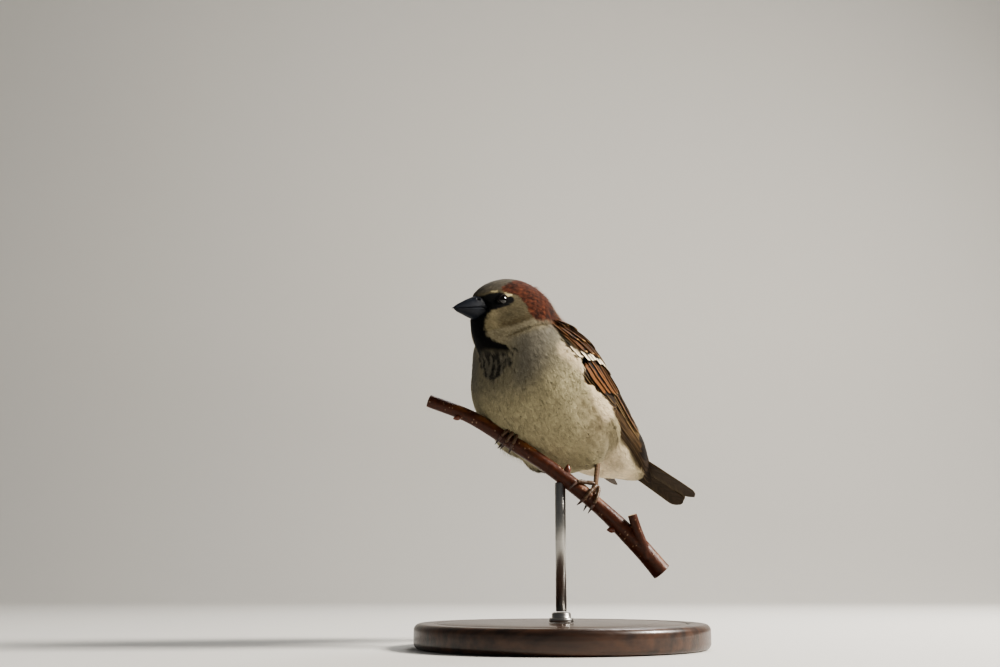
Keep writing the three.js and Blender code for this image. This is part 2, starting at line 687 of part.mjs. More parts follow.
for (const [side, sign] of Object.entries(SIDES)) {
  const leg = LEGS[side];
  const foot = footSolid(leg, TOES[side], 0).subtract(perchClear);
  const footClear = footSolid(leg, TOES[side], GAP);
  addMesh(`eye_${side}`, eyeball(sign, 0), EYE);
  addMesh(`foot_${side}`, foot, LEG);
  addMesh(`leg_${side}`, legTube(leg, 0).subtract(footClear).subtract(perchClear), LEG);
  TOES[side].forEach((toe, i) =>
    addMesh(
      `claw_${side}_${i + 1}`,
      clawSolid(leg, toe, 0).subtract(footClear).subtract(perchClear),
      HORN,
    ),
  );
}

/* ------------------------------------------------------------------ perch and stand */

function bud({ x, round, length, radius, lean }) {
  const foot = perchAt(x, round, -0.6);
  const out = perchAt(x, round, 1).sub(perchAt(x, round, 0));
  const direction = out.addScaledVector(perchAt(x + 1, round, 0).sub(perchAt(x, round, 0)), lean);
  const turn = new THREE.Quaternion().setFromUnitVectors(vec(0, 0, 1), direction.normalize());
  const points = BUD_PROFILE.map(([t]) => vec(0, 0, length * t).applyQuaternion(turn).add(foot));
  return tube(points, BUD_PROFILE.map(([, w]) => w * radius), 8);
}
const stub = tube(
  STUB.points.map((p) => vec(...p)),
  STUB.radii,
  STUB.sides,
  "flat",
);
addMesh("perch", union([perchSolid(0), stub, ...BUDS.map(bud)]), BARK);

const discRings = (r, h, c) => [
  [r - c, 0],
  [r, c],
  [r, h - c],
  [r - c, h],
];
function turned(profile, sides) {
  const rings = profile.map(([r, z]) =>
    Array.from({ length: sides }, (_, s) => {
      const a = (2 * Math.PI * s) / sides;
      return vec(r * Math.cos(a), r * Math.sin(a), z);
    }),
  );
  return solid(closedRings(rings, vec(0, 0, profile[0][1]), vec(0, 0, profile.at(-1)[1])));
}
addMesh("stand_base", turned(discRings(BASE.radius, BASE.height, BASE.chamfer), BASE.sides), WOOD);
const collarBottom = BASE.height + GAP;
const collarTop = collarBottom + COLLAR.height;
const collarProfile = [
  [COLLAR.radius, collarBottom],
  [COLLAR.radius, collarTop - COLLAR.chamfer],
  [COLLAR.radius - COLLAR.chamfer, collarTop],
];
addMesh("stand_collar", turned(collarProfile, COLLAR.sides), METAL);
addMesh(
  "stand_rod",
  turned([[ROD.radius, collarTop + GAP], [ROD.radius, PERCH_HEIGHT]], ROD.sides).subtract(perchClear),
  METAL,
);

export default group;
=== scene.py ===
"""A male house sparrow at life size, fluffed up on a short branch over a plain display stand.

Sizes below are in millimetres, and put_mesh makes metres of them. +Z is up, and the origin is
under the middle of the stand's base. The bird looks toward -X and -Y.
"""

import bpy
import numpy as np
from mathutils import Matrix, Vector, kdtree


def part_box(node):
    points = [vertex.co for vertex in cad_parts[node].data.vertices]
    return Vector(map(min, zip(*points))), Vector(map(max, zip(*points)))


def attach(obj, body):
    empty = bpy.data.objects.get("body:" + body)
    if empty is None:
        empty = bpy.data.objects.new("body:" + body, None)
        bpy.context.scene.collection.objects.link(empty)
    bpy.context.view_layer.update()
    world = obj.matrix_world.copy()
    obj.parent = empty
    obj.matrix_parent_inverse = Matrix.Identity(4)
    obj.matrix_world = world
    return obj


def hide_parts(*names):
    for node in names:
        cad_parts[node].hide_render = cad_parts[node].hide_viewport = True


MM = 0.001
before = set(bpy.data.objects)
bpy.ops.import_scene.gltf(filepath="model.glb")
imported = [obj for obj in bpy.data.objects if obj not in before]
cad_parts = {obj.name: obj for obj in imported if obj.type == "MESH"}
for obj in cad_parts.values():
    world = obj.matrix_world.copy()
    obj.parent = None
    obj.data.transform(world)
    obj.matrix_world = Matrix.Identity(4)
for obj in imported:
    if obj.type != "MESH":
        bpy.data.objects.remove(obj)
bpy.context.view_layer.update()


# ------------------------------------------------------------------ stand base
# The base is a disc of dark stained hardwood, turned on a lathe with a rounded rim and a fine
# groove round its top, then lacquered to a satin shine. It carries everything else.

BASE_RADIUS, BASE_HEIGHT = 60.0, 10.0
RIM_ROUND = 2.6
GROOVE_RADIUS, GROOVE_DEPTH = 51.0, 0.7
AXIS = 1.0  # radius of the innermost ring, which a fan closes


def side_by_side(*parts):
    """Arrays of any matching shapes as the columns of one array."""
    return np.stack(np.broadcast_arrays(*parts), -1)


def round_angles(count):
    """Angles spread evenly round a circle."""
    return np.linspace(0, 2 * np.pi, count, endpoint=False)


def grid_faces(rows, columns, wrap=False):
    """Quads between neighbouring points of a grid that is numbered row by row."""
    row = np.arange(rows - 1)[:, None] * columns
    column = np.arange(columns if wrap else columns - 1)[None, :]
    beside = (column + 1) % columns
    corners = [row + column, row + beside, row + columns + beside, row + columns + column]
    return np.stack(corners, -1).reshape(-1, 4)


def closed_tube(rings):
    """Points and faces of a skin over rings of points, with a fan to the middle of each end."""
    count, sides = rings.shape[:2]
    ends = np.stack([rings[0].mean(0), rings[-1].mean(0)])
    around = np.arange(sides)
    beside = (around + 1) % sides
    first, last = count * sides, count * sides + 1
    start = np.stack([np.full(sides, first), beside, around], 1)
    end = np.stack([np.full(sides, last), last - 1 - sides + around, last - 1 - sides + beside], 1)
    return np.vstack([rings.reshape(-1, 3), ends]), [grid_faces(count, sides, True), start, end]


def facing_out(points, faces):
    """The same faces, turned round if the volume that they enclose comes out negative."""
    volume = 0.0
    for block in faces:
        a = points[block[:, 0]]
        for k in range(1, block.shape[1] - 1):
            volume += np.einsum("ij,ij->", a, np.cross(points[block[:, k]], points[block[:, k + 1]]))
    return faces if volume > 0 else [block[:, ::-1] for block in faces]


def put_mesh(name, points, faces, colours=None, values=None, maps=None, normals=None):
    """A smooth mesh object from millimetres. All its other data holds one entry a point."""
    faces = facing_out(points, faces)
    corners = np.concatenate([block.ravel() for block in faces]).astype(np.int32)
    sizes = np.concatenate([np.full(len(block), block.shape[1]) for block in faces])
    mesh = bpy.data.meshes.new(name)
    mesh.vertices.add(len(points))
    mesh.vertices.foreach_set("co", (points * MM).astype(np.float32).ravel())
    mesh.loops.add(len(corners))
    mesh.loops.foreach_set("vertex_index", corners)
    mesh.polygons.add(len(sizes))
    mesh.polygons.foreach_set("loop_start", np.cumsum(sizes) - sizes)
    mesh.polygons.foreach_set("use_smooth", np.ones(len(sizes), bool))
    for key, data in (maps or {}).items():
        layer = mesh.uv_layers.new(name=key)
        layer.uv.foreach_set("vector", data[corners].astype(np.float32).ravel())
    for key, data in (colours or {}).items():
        layer = mesh.attributes.new(key, "FLOAT_COLOR", "POINT")
        opaque = np.concatenate([data, np.ones((len(data), 1))], 1)
        layer.data.foreach_set("color", opaque.astype(np.float32).ravel())
    for key, data in (values or {}).items():
        kind, field = ("FLOAT", "value") if data.ndim == 1 else ("FLOAT_VECTOR", "vector")
        layer = mesh.attributes.new(key, kind, "POINT")
        layer.data.foreach_set(field, data.astype(np.float32).ravel())
    mesh.update(calc_edges=True)
    mesh.validate()
    if normals is not None:
        mesh.normals_split_custom_set_from_vertices(normals)
    piece = bpy.data.objects.new(name, mesh)
    bpy.context.scene.collection.objects.link(piece)
    return piece


def fit_piece(piece, material, slot, *solids):
    """Gives a piece its material, and lets it stand for solids of the frame. The slot is not used."""
    piece.data.materials.append(material)
    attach(piece, "root")
    if solids:
        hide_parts(*solids)


def turned(profile, sides):
    """Rings of a lathe-turned shape: each [radius, height] of the profile swept round Z."""
    angle = round_angles(sides)
    radius, height = np.asarray(profile, float).T[..., None]
    return side_by_side(radius * np.cos(angle), radius * np.sin(angle), height)


def shade(red, green, blue):
    """Linear colour from the 0 to 255 values of a paint card."""
    card = np.array([red, green, blue]) / 255
    return np.where(card <= 0.04045, card / 12.92, ((card + 0.055) / 1.055) ** 2.4)


class Nodes:
    """The shader nodes of one material or node group, which are added one by one."""

    def __init__(self, tree):
        self.tree = tree

    def feed(self, node, inputs):
        """Sets a node's inputs, by name or number, to values, colours or other nodes' sockets."""
        for key, value in inputs.items():
            if isinstance(value, bpy.types.NodeSocket):
                self.tree.links.new(value, node.inputs[key])
            else:
                colour = isinstance(value, np.ndarray)
                node.inputs[key].default_value = (*value, 1.0) if colour else value

    def add(self, kind, inputs, **settings):
        """A node with its settings and inputs."""
        node = self.tree.nodes.new("ShaderNode" + kind)
        for key, value in settings.items():
            setattr(node, key, value)
        self.feed(node, inputs)
        return node

    def spot(self, scale=None, turn=(0, 0, 0)):
        """The place on the object, turned and stretched for a pattern if a scale is given."""
        place = self.add("TexCoord", {}).outputs["Object"]
        if scale is None:
            return place
        return self.add("Mapping", {"Vector": place, "Rotation": turn, "Scale": scale}).outputs[0]

    def read(self, name, output="Fac"):
        """The value, vector or colour that the mesh holds under a name."""
        return self.add("Attribute", {}, attribute_name=name).outputs[output]

    def split(self, vector):
        """The three parts of a vector."""
        return self.add("SeparateXYZ", {0: vector}).outputs

    def noise(self, where, scale, detail=2.0):
        """A soft random pattern of 0 to 1."""
        return self.add("TexNoise", {"Vector": where, "Scale": scale, "Detail": detail}).outputs[0]

    def cells(self, where, scale, **settings):
        """The distance in a pattern of small random cells, from their middles or their edges."""
        inputs = {"Vector": where, "Scale": scale}
        return self.add("TexVoronoi", inputs, **settings).outputs["Distance"]

    def ranged(self, value, low, high, start=0.0, end=1.0):
        """start where a value is at low, end where it is at high, and even between them."""
        return self.add("MapRange", {0: value, 1: low, 2: high, 3: start, 4: end}).outputs[0]

    def math(self, way, first, second=0.0):
        """One step of arithmetic on values."""
        return self.add("Math", {0: first, 1: second}, operation=way).outputs[0]

    def mixed(self, share, first, second):
        """The colour between two colours, by a share from 0 to 1."""
        return self.add("Mix", {0: share, 6: first, 7: second}, data_type="RGBA").outputs[2]

    def bump(self, height, distance, strength):
        """A relief of this height in metres, for the Normal input."""
        inputs = {"Height": height, "Distance": distance, "Strength": strength}
        return self.add("Bump", inputs).outputs[0]

    def end(self, inputs):
        """Gives the material's Principled shader its inputs."""
        self.feed(self.tree.nodes["Principled BSDF"], inputs)


def new_material(name):
    """An empty material, and its nodes."""
    material = bpy.data.materials.new(name)
    material.use_nodes = True
    return material, Nodes(material.node_tree)


STAIN_DARK, STAIN_LIGHT = shade(38, 26, 20), shade(74, 50, 36)
stand_wood, nodes = new_material("stand_wood")
along_grain = nodes.spot((9, 120, 60))
pores = nodes.noise(along_grain, 14.0, 3.0)
tone = nodes.ranged(nodes.noise(along_grain, 3.0, 6.0), 0.35, 0.66)
nodes.end({
    "Base Color": nodes.mixed(tone, STAIN_DARK, STAIN_LIGHT),
    "Roughness": nodes.ranged(pores, 0.3, 0.7, 0.3, 0.42),
    "Normal": nodes.bump(pores, 0.0001, 0.4),
    "Coat Weight": 0.25,
})

turn = np.linspace(0, np.pi / 2, 8)
rim_low = [
    [BASE_RADIUS - RIM_ROUND * (1 - np.sin(a)), RIM_ROUND * (1 - np.cos(a))] for a in turn[2:]
]
rim_high = [
    [BASE_RADIUS - RIM_ROUND * (1 - np.cos(a)), BASE_HEIGHT - RIM_ROUND * (1 - np.sin(a))]
    for a in turn
]
groove = [
    [GROOVE_RADIUS + across, BASE_HEIGHT - GROOVE_DEPTH * depth]
    for across, depth in [(1.0, 0), (0.55, 0.35), (0.25, 1), (-0.25, 1), (-0.55, 0.35), (-1.0, 0)]
]
underside = [[AXIS, 0.0], [BASE_RADIUS - 2 * RIM_ROUND, 0.0]]
top = [[radius, BASE_HEIGHT] for radius in (30.0, 6.0, AXIS)]
base_points, base_faces = closed_tube(turned(underside + rim_low + rim_high + groove + top, 180))
stand_base = put_mesh("stand_base_turned", base_points, base_faces)
fit_piece(stand_base, stand_wood, "stand_wood", "stand_base")


# ------------------------------------------------------------------ stand rod and collar
# A brushed steel rod stands in a small stepped steel collar that is screwed to the base. Its
# upper end stops just under the branch.

ROD_RADIUS, COLLAR_RADIUS = 2.2, 5.0
ROD_BEVEL, ROD_SHORT = 0.3, 0.6  # at its upper end, which stops short of the solid one
PERCH_HEIGHT = 70.0
collar_low, collar_high = (np.array(corner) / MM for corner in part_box("stand_collar"))
rod_low, rod_high = (np.array(corner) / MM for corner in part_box("stand_rod"))

stand_metal, nodes = new_material("stand_metal")
brushing = nodes.noise(nodes.spot((40, 40, 2500)), 1.0, 4.0)
nodes.end({
    "Base Color": nodes.mixed(brushing, shade(150, 148, 144), shade(196, 194, 190)),
    "Roughness": nodes.ranged(brushing, 0.0, 1.0, 0.24, 0.42),
    "Normal": nodes.bump(brushing, 0.00002, 0.5),
    "Metallic": 1.0,
})

bottom, crest = collar_low[2], collar_high[2]
collar_profile = [[AXIS, bottom]]
collar_profile += [
    [COLLAR_RADIUS - inset, bottom + rise]
    for inset, rise in [(0.2, 0), (0, 0.2), (0, 1.5), (0.25, 1.75), (1.0, 1.8), (1.1, 1.9)]
]
collar_profile += [
    [COLLAR_RADIUS - inset, crest - drop] for inset, drop in [(1.1, 0.7), (1.4, 0.2), (1.9, 0)]
]
collar_profile += [[AXIS, crest]]
collar = put_mesh("stand_collar_turned", *closed_tube(turned(collar_profile, 96)))
fit_piece(collar, stand_metal, "stand_metal", "stand_collar")
rod_top = rod_high[2] - ROD_SHORT
rod_profile = [[AXIS / 2, rod_low[2]], [ROD_RADIUS, rod_low[2]], [ROD_RADIUS, rod_top - ROD_BEVEL]]
rod_profile += [[ROD_RADIUS - ROD_BEVEL, rod_top], [AXIS / 2, rod_top]]
rod = put_mesh("stand_rod_turned", *closed_tube(turned(rod_profile, 64)))
fit_piece(rod, stand_metal, "stand_metal", "stand_rod")


# ------------------------------------------------------------------ branch
# The perch is a cut length of a young branch: smooth, reddish brown, shiny bark with pale raised
# pores, a few pointed buds, the cut stub of one side shoot, and pale wood at the cut ends.

# From the thin end: x, y, rise over PERCH_HEIGHT, radius.
PERCH_LINE = np.array(
    [[-55, 2.5, 31.5, 2.6], [-37.6, 1, 24.5, 2.8], [-16.6, 0, 11.5, 3.1], [0, 0, 0, 3.1]]
    + [[16.4, 0, -13.4, 3.2], [31, 0.5, -27.6, 3.7], [41.5, 2, -39.5, 4.0]]
)
STUB_LINE = np.array([[35.5, 0, 36, 2.6], [32, -1.6, 45.5, 2.1], [29.4, -2.4, 53.5, 1.9]])
# Place along and round the branch, length, radius, lean toward the thick end.
BUDS = [(1.5, 10, 3.6, 1.4, -0.5), (-41, 150, 3.2, 1.2, -0.8), (24, 160, 3.4, 1.3, -0.6)]
PORES, PORE_RISE = 170, 0.08
SWELL, WAVE, RIDGE = 0.02, 0.015, 0.006  # of the bark, in radii
FRONT = np.array([0, -1.0, 0])


def curve_through(points, count):
    """Points evenly spread in parameter on the centripetal curve through the given points."""
    line = np.vstack([2 * points[0] - points[1], points, 2 * points[-1] - points[-2]])
    place = np.linspace(0, len(points) - 1, count)
    i = np.minimum(place.astype(int), len(points) - 2)
    w = (place - i)[:, None]
    x0, x1, x2, x3 = (line[i + k] for k in range(4))
    d0, d1, d2 = (
        np.linalg.norm(b[:, :3] - a[:, :3], axis=1, keepdims=True) ** 0.5
        for a, b in [(x0, x1), (x1, x2), (x2, x3)]
    )
    start = ((x1 - x0) / d0 - (x2 - x0) / (d0 + d1) + (x2 - x1) / d1) * d1
    end = ((x2 - x1) / d1 - (x3 - x1) / (d1 + d2) + (x3 - x2) / d2) * d1
    bend = -3 * x1 + 3 * x2 - 2 * start - end
    return x1 + w * (start + w * (bend + w * (2 * x1 - 2 * x2 + start + end)))


def unit(vectors):
    """The same directions with a length of one."""
    return vectors / np.linalg.norm(vectors, axis=-1, keepdims=True)


def swept_frames(line, front):
    """Along, side and top directions at each point of a line, with the side nearest to front."""
    along = unit(np.gradient(line, axis=0))
    side = unit(front - along * (along @ front)[:, None])
    return along, side, np.cross(side, along)


PERCH_STEPS = 601
PERCH = curve_through(PERCH_LINE + [0, 0, PERCH_HEIGHT, 0], PERCH_STEPS)
line_place = np.linspace(0, len(PERCH_LINE) - 1, PERCH_STEPS)
PERCH[:, 3] = np.interp(line_place, np.arange(len(PERCH_LINE)), PERCH_LINE[:, 3])
_, PERCH_FRONT, PERCH_TOP = swept_frames(PERCH[:, :3], FRONT)


def perch_at(x, degrees, out):
    """Points beside the branch: at x, turned by degrees from its top toward -Y, out from bark."""
    x, degrees, out = np.broadcast_arrays(*(np.asarray(part, float) for part in (x, degrees, out)))
    columns = np.concatenate([PERCH, PERCH_FRONT, PERCH_TOP], 1)
    found = [np.interp(x, PERCH[:, 0], column)[..., None] for column in columns.T]
    centre, front, top = (np.concatenate(found[a:b], -1) for a, b in [(0, 3), (4, 7), (7, 10)])
    reach = found[3] + out[..., None]
    angle = np.radians(degrees)[..., None]
    return centre + reach * (top * np.cos(angle) + front * np.sin(angle))


def bark_tube(line, sides, seed, cut_share):
    """Rings of bark: a tube with slow swellings, fine ridges and raised pores, and flat ends.

    The radius is the line's own, times one plus soft waves along and round, plus a low bump at
    each pore. Gives the points, faces, how much each point is pore, and how much it is cut wood.
    """
    draw = np.random.default_rng(seed)
    count = len(line)
    _, side, top = swept_frames(line[:, :3], FRONT)
    angle = round_angles(sides)[None]
    reach = np.linspace(0, 1, count)[:, None]
    length = np.linalg.norm(np.diff(line[:, :3], axis=0), axis=1).sum()
    swell = SWELL * np.sin(reach * length / 5.1 + 1.3) + WAVE * np.sin(2 * angle + reach * 9)
    ridge = RIDGE * np.sin(9 * angle + 3 * np.sin(reach * 31)) * np.sin(reach * length / 1.7)
    pore = np.zeros((count, sides))
    for _ in range(int(PORES * length / 130)):
        at, turn_, wide, high = draw.uniform(size=4)
        off = np.angle(np.exp(1j * (angle - 2 * np.pi * turn_)))
        across = off * 3.2 / (0.15 + 0.2 * wide)
        down = (reach - at) * length / (0.13 + 0.12 * high)
        pore = np.maximum(pore, np.exp(-(across**2) - down**2))
    radius = line[:, 3:4] * (1 + swell + ridge) + PORE_RISE * pore
    steps = [0.97, 0.6, 0.2]
    way = side[:, None] * np.sin(angle)[..., None] + top[:, None] * np.cos(angle)[..., None]
    rings = line[:, None, :3] + radius[..., None] * way
    discs = [
        [line[end, None, :3] + (radius[end] * step)[:, None] * way[end] for step in steps]
        for end in (0, -1)
    ]
    rings = np.concatenate([np.array(discs[0][::-1]), rings, np.array(discs[1])])
    edge = np.zeros((3, sides))
    pore = np.concatenate([edge, pore, edge])
    cut = np.zeros_like(pore)
    cut[: 3 * cut_share[0]] = 1
    cut[len(cut) - 3 * cut_share[1] :] = 1
    points, faces = closed_tube(rings)
    ends = [float(cut_share[0]), float(cut_share[1])]
    return points, faces, np.append(pore.ravel(), [0, 0]), np.append(cut.ravel(), ends)


def bud(x, degrees, length, radius, lean):
    """A pointed egg of overlapping scales, set on the branch and leaning along it.

    Each ring's radius follows a bud's profile, with a step of a fifth of a millimetre at the
    lower edge of each scale, on alternate sides.
    """
    foot = perch_at(x, degrees, -0.6)
    out = perch_at(x, degrees, 1) - perch_at(x, degrees, 0)
    axis = unit(out + lean * (perch_at(x + 1, degrees, 0) - perch_at(x, degrees, 0)))
    side = unit(np.cross(axis, [0.3, 0.9, 0.1]))
    other = np.cross(axis, side)
    reach = np.linspace(0, 1, 30)[:, None]
    angle = round_angles(32)[None]
    plump = np.interp(reach, [0, 0.08, 0.3, 0.55, 0.8, 1], [0.72, 0.8, 1, 0.9, 0.52, 0.1])
    wave = reach * 4 - 0.5 * np.cos(angle + np.pi * np.floor(reach * 2))
    step = 0.13 * (1 - (wave % 1)) * (1 - reach)
    width = radius * (plump + step)
    round_it = np.cos(angle)[..., None] * side + np.sin(angle)[..., None] * other
    rings = foot + length * reach[..., None] * axis + width[..., None] * round_it
    points, faces = closed_tube(rings)
    return points, faces, np.append((wave % 1).ravel(), [0, 0])


def joined(parts):
    """One set of points, faces and further columns from several."""
    points, faces, columns = [], [], []
    start = 0
    for part in parts:
        points.append(part[0])
        faces += [block + start for block in facing_out(part[0], part[1])]
        columns.append(part[2:])
        start += len(part[0])
    return [np.concatenate(points), faces, *(np.concatenate(column) for column in zip(*columns))]


stub = bark_tube(curve_through(STUB_LINE, 90), 40, 9, (0, 1))
branch_points, branch_faces, pore, cut_wood = joined([bark_tube(PERCH, 64, 4, (1, 1)), stub])
bud_points, bud_faces, scale = joined([bud(*one) for one in BUDS])

BARK_DEEP, BARK_RED, BARK_SUNLIT = shade(30, 15, 10), shade(92, 48, 28), shade(158, 104, 60)
PORE, CUT_WOOD = shade(196, 168, 138), shade(214, 190, 150)
bark, nodes = new_material("bark")
patches = nodes.noise(nodes.spot(), 90.0, 4.0)
fibres = nodes.noise(nodes.spot((1, 4, 1)), 700.0, 4.0)
# The bark's upward faces are painted tan in patches: painted sunlight on the branch's top.
facing_up = nodes.split(nodes.add("NewGeometry", {}).outputs["Normal"])[2]
facing_light = nodes.ranged(facing_up, 0.1, 0.9, 0.0, 0.8)
painted_sunlight = nodes.math("MULTIPLY", facing_light, nodes.ranged(patches, 0.5, 0.62))
young = nodes.mixed(painted_sunlight, nodes.mixed(fibres, BARK_DEEP, BARK_RED), BARK_SUNLIT)
spotted = nodes.mixed(nodes.math("MULTIPLY", nodes.read("pore"), 0.8), young, PORE)
cut = nodes.read("cut")
wood = nodes.mixed(nodes.noise(nodes.spot(), 1500.0), CUT_WOOD * 0.7, CUT_WOOD)
gloss = nodes.ranged(patches, 0.3, 0.7, 0.28, 0.5)
nodes.end({
    "Base Color": nodes.mixed(cut, spotted, wood),
    "Roughness": nodes.math("MAXIMUM", gloss, nodes.math("MULTIPLY", cut, 0.8)),
    "Normal": nodes.bump(fibres, 0.0002, 0.7),
    "Specular IOR Level": 0.3,
})

branch = put_mesh("branch", branch_points, branch_faces, values={"pore": pore, "cut": cut_wood})
fit_piece(branch, bark, "bark", "perch")

bud_skin, nodes = new_material("bud_scales")
flecks = nodes.math("MULTIPLY", nodes.noise(nodes.spot(), 900.0, 3.0), 0.5)
scale_colour = nodes.mixed(nodes.read("scale"), shade(96, 46, 30), shade(46, 20, 16))
flecked = nodes.mixed(flecks, scale_colour, shade(140, 80, 50))
nodes.end({"Base Color": flecked, "Roughness": 0.3, "Coat Weight": 0.3})
buds = put_mesh("branch_buds", bud_points, bud_faces, values={"scale": scale})
fit_piece(buds, bud_skin, "bark")


# ------------------------------------------------------------------ skin
# The bird's body is one skin over the whole of head, neck and trunk. Its outer form is a set of
# egg shapes that melt together, and the skin lies under that form by the plumage's depth.


def turned_frame(at, yaw, pitch, roll):
    """Origin and the forward, left and up directions of a part of the bird."""
    yaw, pitch, roll = np.radians([yaw, pitch, roll])
    level, rise = np.cos(pitch), np.sin(pitch)
    forward = np.array([-np.sin(yaw) * level, -np.cos(yaw) * level, rise])
    left = np.array([np.cos(yaw), -np.sin(yaw), 0.0])
    up = np.cross(forward, left)
    left = left * np.cos(roll) - up * np.sin(roll)
    return np.array(at, float), np.stack([forward, left, np.cross(forward, left)])


def into(part, points):
    """Points of the model in the frame of a part: forward, left and up."""
    return (points - part[0]) @ part[1].T


def out_of(part, local):
    """Points in the frame of a part, placed in the model."""
    return part[0] + np.asarray(local, float) @ part[1]


BODY = turned_frame([-5.5, 15, 103], 42, 34, 0)
HEAD = turned_frame([-21.5, -6, 141], 55, -7, 0)
TAIL = turned_frame([20.8, 44.2, 89.7], 64, 28, -24)
MELT = 7.0
LUMPS = [
    (BODY, [7, 0, 0], [29, 28, 26]),  # breast
    (BODY, [-10, 0, 0], [27, 24, 24]),  # belly
    (BODY, [4, 0, 7], [29, 25, 22]),  # back
    (BODY, [-34, 0, 5.5], [20, 18, 13]),  # rump
    (BODY, [27, 1, 11], [20, 19, 17]),  # neck
    (TAIL, [-6, -0.5, -4.5], [20, 9, 7]),  # tail coverts
    (HEAD, [0, 0, 1], [14, 10, 10]),  # skull
    (HEAD, [9, 0, -1.2], [10.5, 4.6, 7.4]),  # face
    (HEAD, [6, 0, -9], [11, 7.6, 10]),  # throat and cheeks
    (HEAD, [-7, 0, -6], [12, 11.5, 11]),  # nape
]
GAPE_ROOM = (HEAD, [19.7, 0, -1.6], [6.1, 10, 4.0])  # bare hollow at the corners of the mouth
GAPE_MELT = 1.2
EYE_AT, EYE_RADIUS = np.array([8.4, 6.3, 0.9]), 3.2


def egg_distance(points, part, at, size):
    """Distance from an egg's skin, near enough: its scaled radius less one, over its slope."""
    local = into(part, points) - at
    reach = np.linalg.norm(local / size, axis=-1)
    slope = np.maximum(np.linalg.norm(local / np.square(size), axis=-1), 1e-6)
    return reach * (reach - 1) / slope


def melted(first, second, width):
    """The smaller of two distances, rounded off where they are within width of each other."""
    share = np.maximum(width - np.abs(first - second), 0) / width
    return np.minimum(first, second) - share * share * width / 4


def body_distance(points):
    """Distance from the outer form: the eggs melted together, less the hollow at the gape."""
    nearest = egg_distance(points, *LUMPS[0])
    for lump in LUMPS[1:]:
        nearest = melted(nearest, egg_distance(points, *lump), MELT)
    return -melted(-nearest, egg_distance(points, *GAPE_ROOM), GAPE_MELT)


def soft(start, end, value):
    """Rises smoothly from 0 at start to 1 at end, or falls if end is the smaller."""
    share = np.clip((value - start) / (end - start), 0, 1)
    return share * share * (3 - 2 * share)


def slope_of(points, distance=body_distance, reach=0.1):
    """The outward direction of a distance, by differences over a reach in millimetres."""
    step = reach * np.eye(3)
    rise = [distance(points + step[k]) - distance(points - step[k]) for k in range(3)]
    return unit(np.stack(rise, -1))


def coat_depth(points):
    """How deep the plumage is: thin on the face, thicker over the nape, deep on the body."""
    forward = into(HEAD, points)[..., 0]
    down = into(BODY, points)[..., 0]
    head_coat = 0.55 + 0.9 * soft(8, -10, forward)
    return head_coat + (2.4 - head_coat) * soft(40, 22, down)


MIDDLE = np.array(
    [out_of(HEAD, [-1, 0, -2])]
    + [out_of(BODY, spot) for spot in ([30, 1, 11], [10, 0, 2], [-14, 0, 0], [-34, 0, 4])]
)
MIDDLE_STEPS = 401
HEAD_SHARE, TAIL_SHARE = 0.3, 0.2
RAY_REACH, RAY_HALVINGS = 70.0, 17
SKIN_ROWS, SKIN_COLUMNS = 300, 240


def turned_toward(first, second, share):
    """Directions turned from the first toward the second by a share of the angle between."""
    angle = np.arccos(np.clip((first * second).sum(-1, keepdims=True), -1, 1))
    return unit(first * np.sin((1 - share) * angle) + second * np.sin(share * angle))


def body_surface(u, v, deeper):
    """Points on rays from the body's middle line, where the distance is minus the coat's depth.

    u runs from the bill to the tail and v round the body, from the belly over the left side. The
    rays fan out over the head, stand level across the body, and fan in over the tail coverts.
    """
    line = curve_through(MIDDLE, MIDDLE_STEPS)
    along = np.clip((u - HEAD_SHARE) / (1 - HEAD_SHARE - TAIL_SHARE), 0, 1)
    steps = np.linspace(0, 1, MIDDLE_STEPS)
    centre = np.stack([np.interp(along, steps, column) for column in line.T], -1)
    angle = (2 * np.pi * v)[..., None]
    level = BODY[1][1] * np.sin(angle) - BODY[1][2] * np.cos(angle)
    ahead = np.broadcast_to(HEAD[1][0], level.shape)
    from_bill = turned_toward(ahead, level, np.clip(u / HEAD_SHARE, 0, 1)[..., None])
    to_tail = np.clip((u - 1 + TAIL_SHARE) / TAIL_SHARE, 0, 1)[..., None]
    ray = turned_toward(from_bill, np.broadcast_to(-TAIL[1][0], level.shape), to_tail)
    inside, outside = np.zeros(u.shape), np.full(u.shape, RAY_REACH)
    for _ in range(RAY_HALVINGS):
        middle = (inside + outside) / 2
        spot = centre + ray * middle[..., None]
        within = body_distance(spot) < -deeper * coat_depth(spot)
        inside = np.where(within, middle, inside)
        outside = np.where(within, outside, middle)
    return centre + ray * inside[..., None]


def ripple(points, size, seed):
    """A soft random field of about -1 to 1: plane waves of this size in random directions."""
    draw = np.random.default_rng(seed)
    ways = unit(draw.normal(size=(7, 3))) * draw.uniform(0.7, 1.5, (7, 1)) * 2 * np.pi / size
    return np.sin(points @ ways.T + draw.uniform(0, 2 * np.pi, 7)).sum(-1) / 3


# Plumage colours.
CREAM, VENT, FLANK = shade(170, 161, 130), shade(250, 232, 198), shade(146, 135, 106)
BREAST, ASH, PALE_AND_LIT = shade(124, 118, 100), shade(118, 114, 104), shade(220, 203, 172)
DUSKY_AND_SHADE, RUMP, MANTLE = shade(88, 76, 54), shade(110, 96, 74), shade(108, 68, 38)
INK, CROWN, CHESTNUT = shade(9, 9, 11), shade(94, 88, 76), shade(80, 43, 28)
CHEEK, CHEEK_PALE, COLLAR = shade(98, 90, 70), shade(144, 134, 106), shade(136, 128, 106)
BROW_SPOT, THROAT_GREY = shade(208, 194, 150), shade(98, 95, 86)

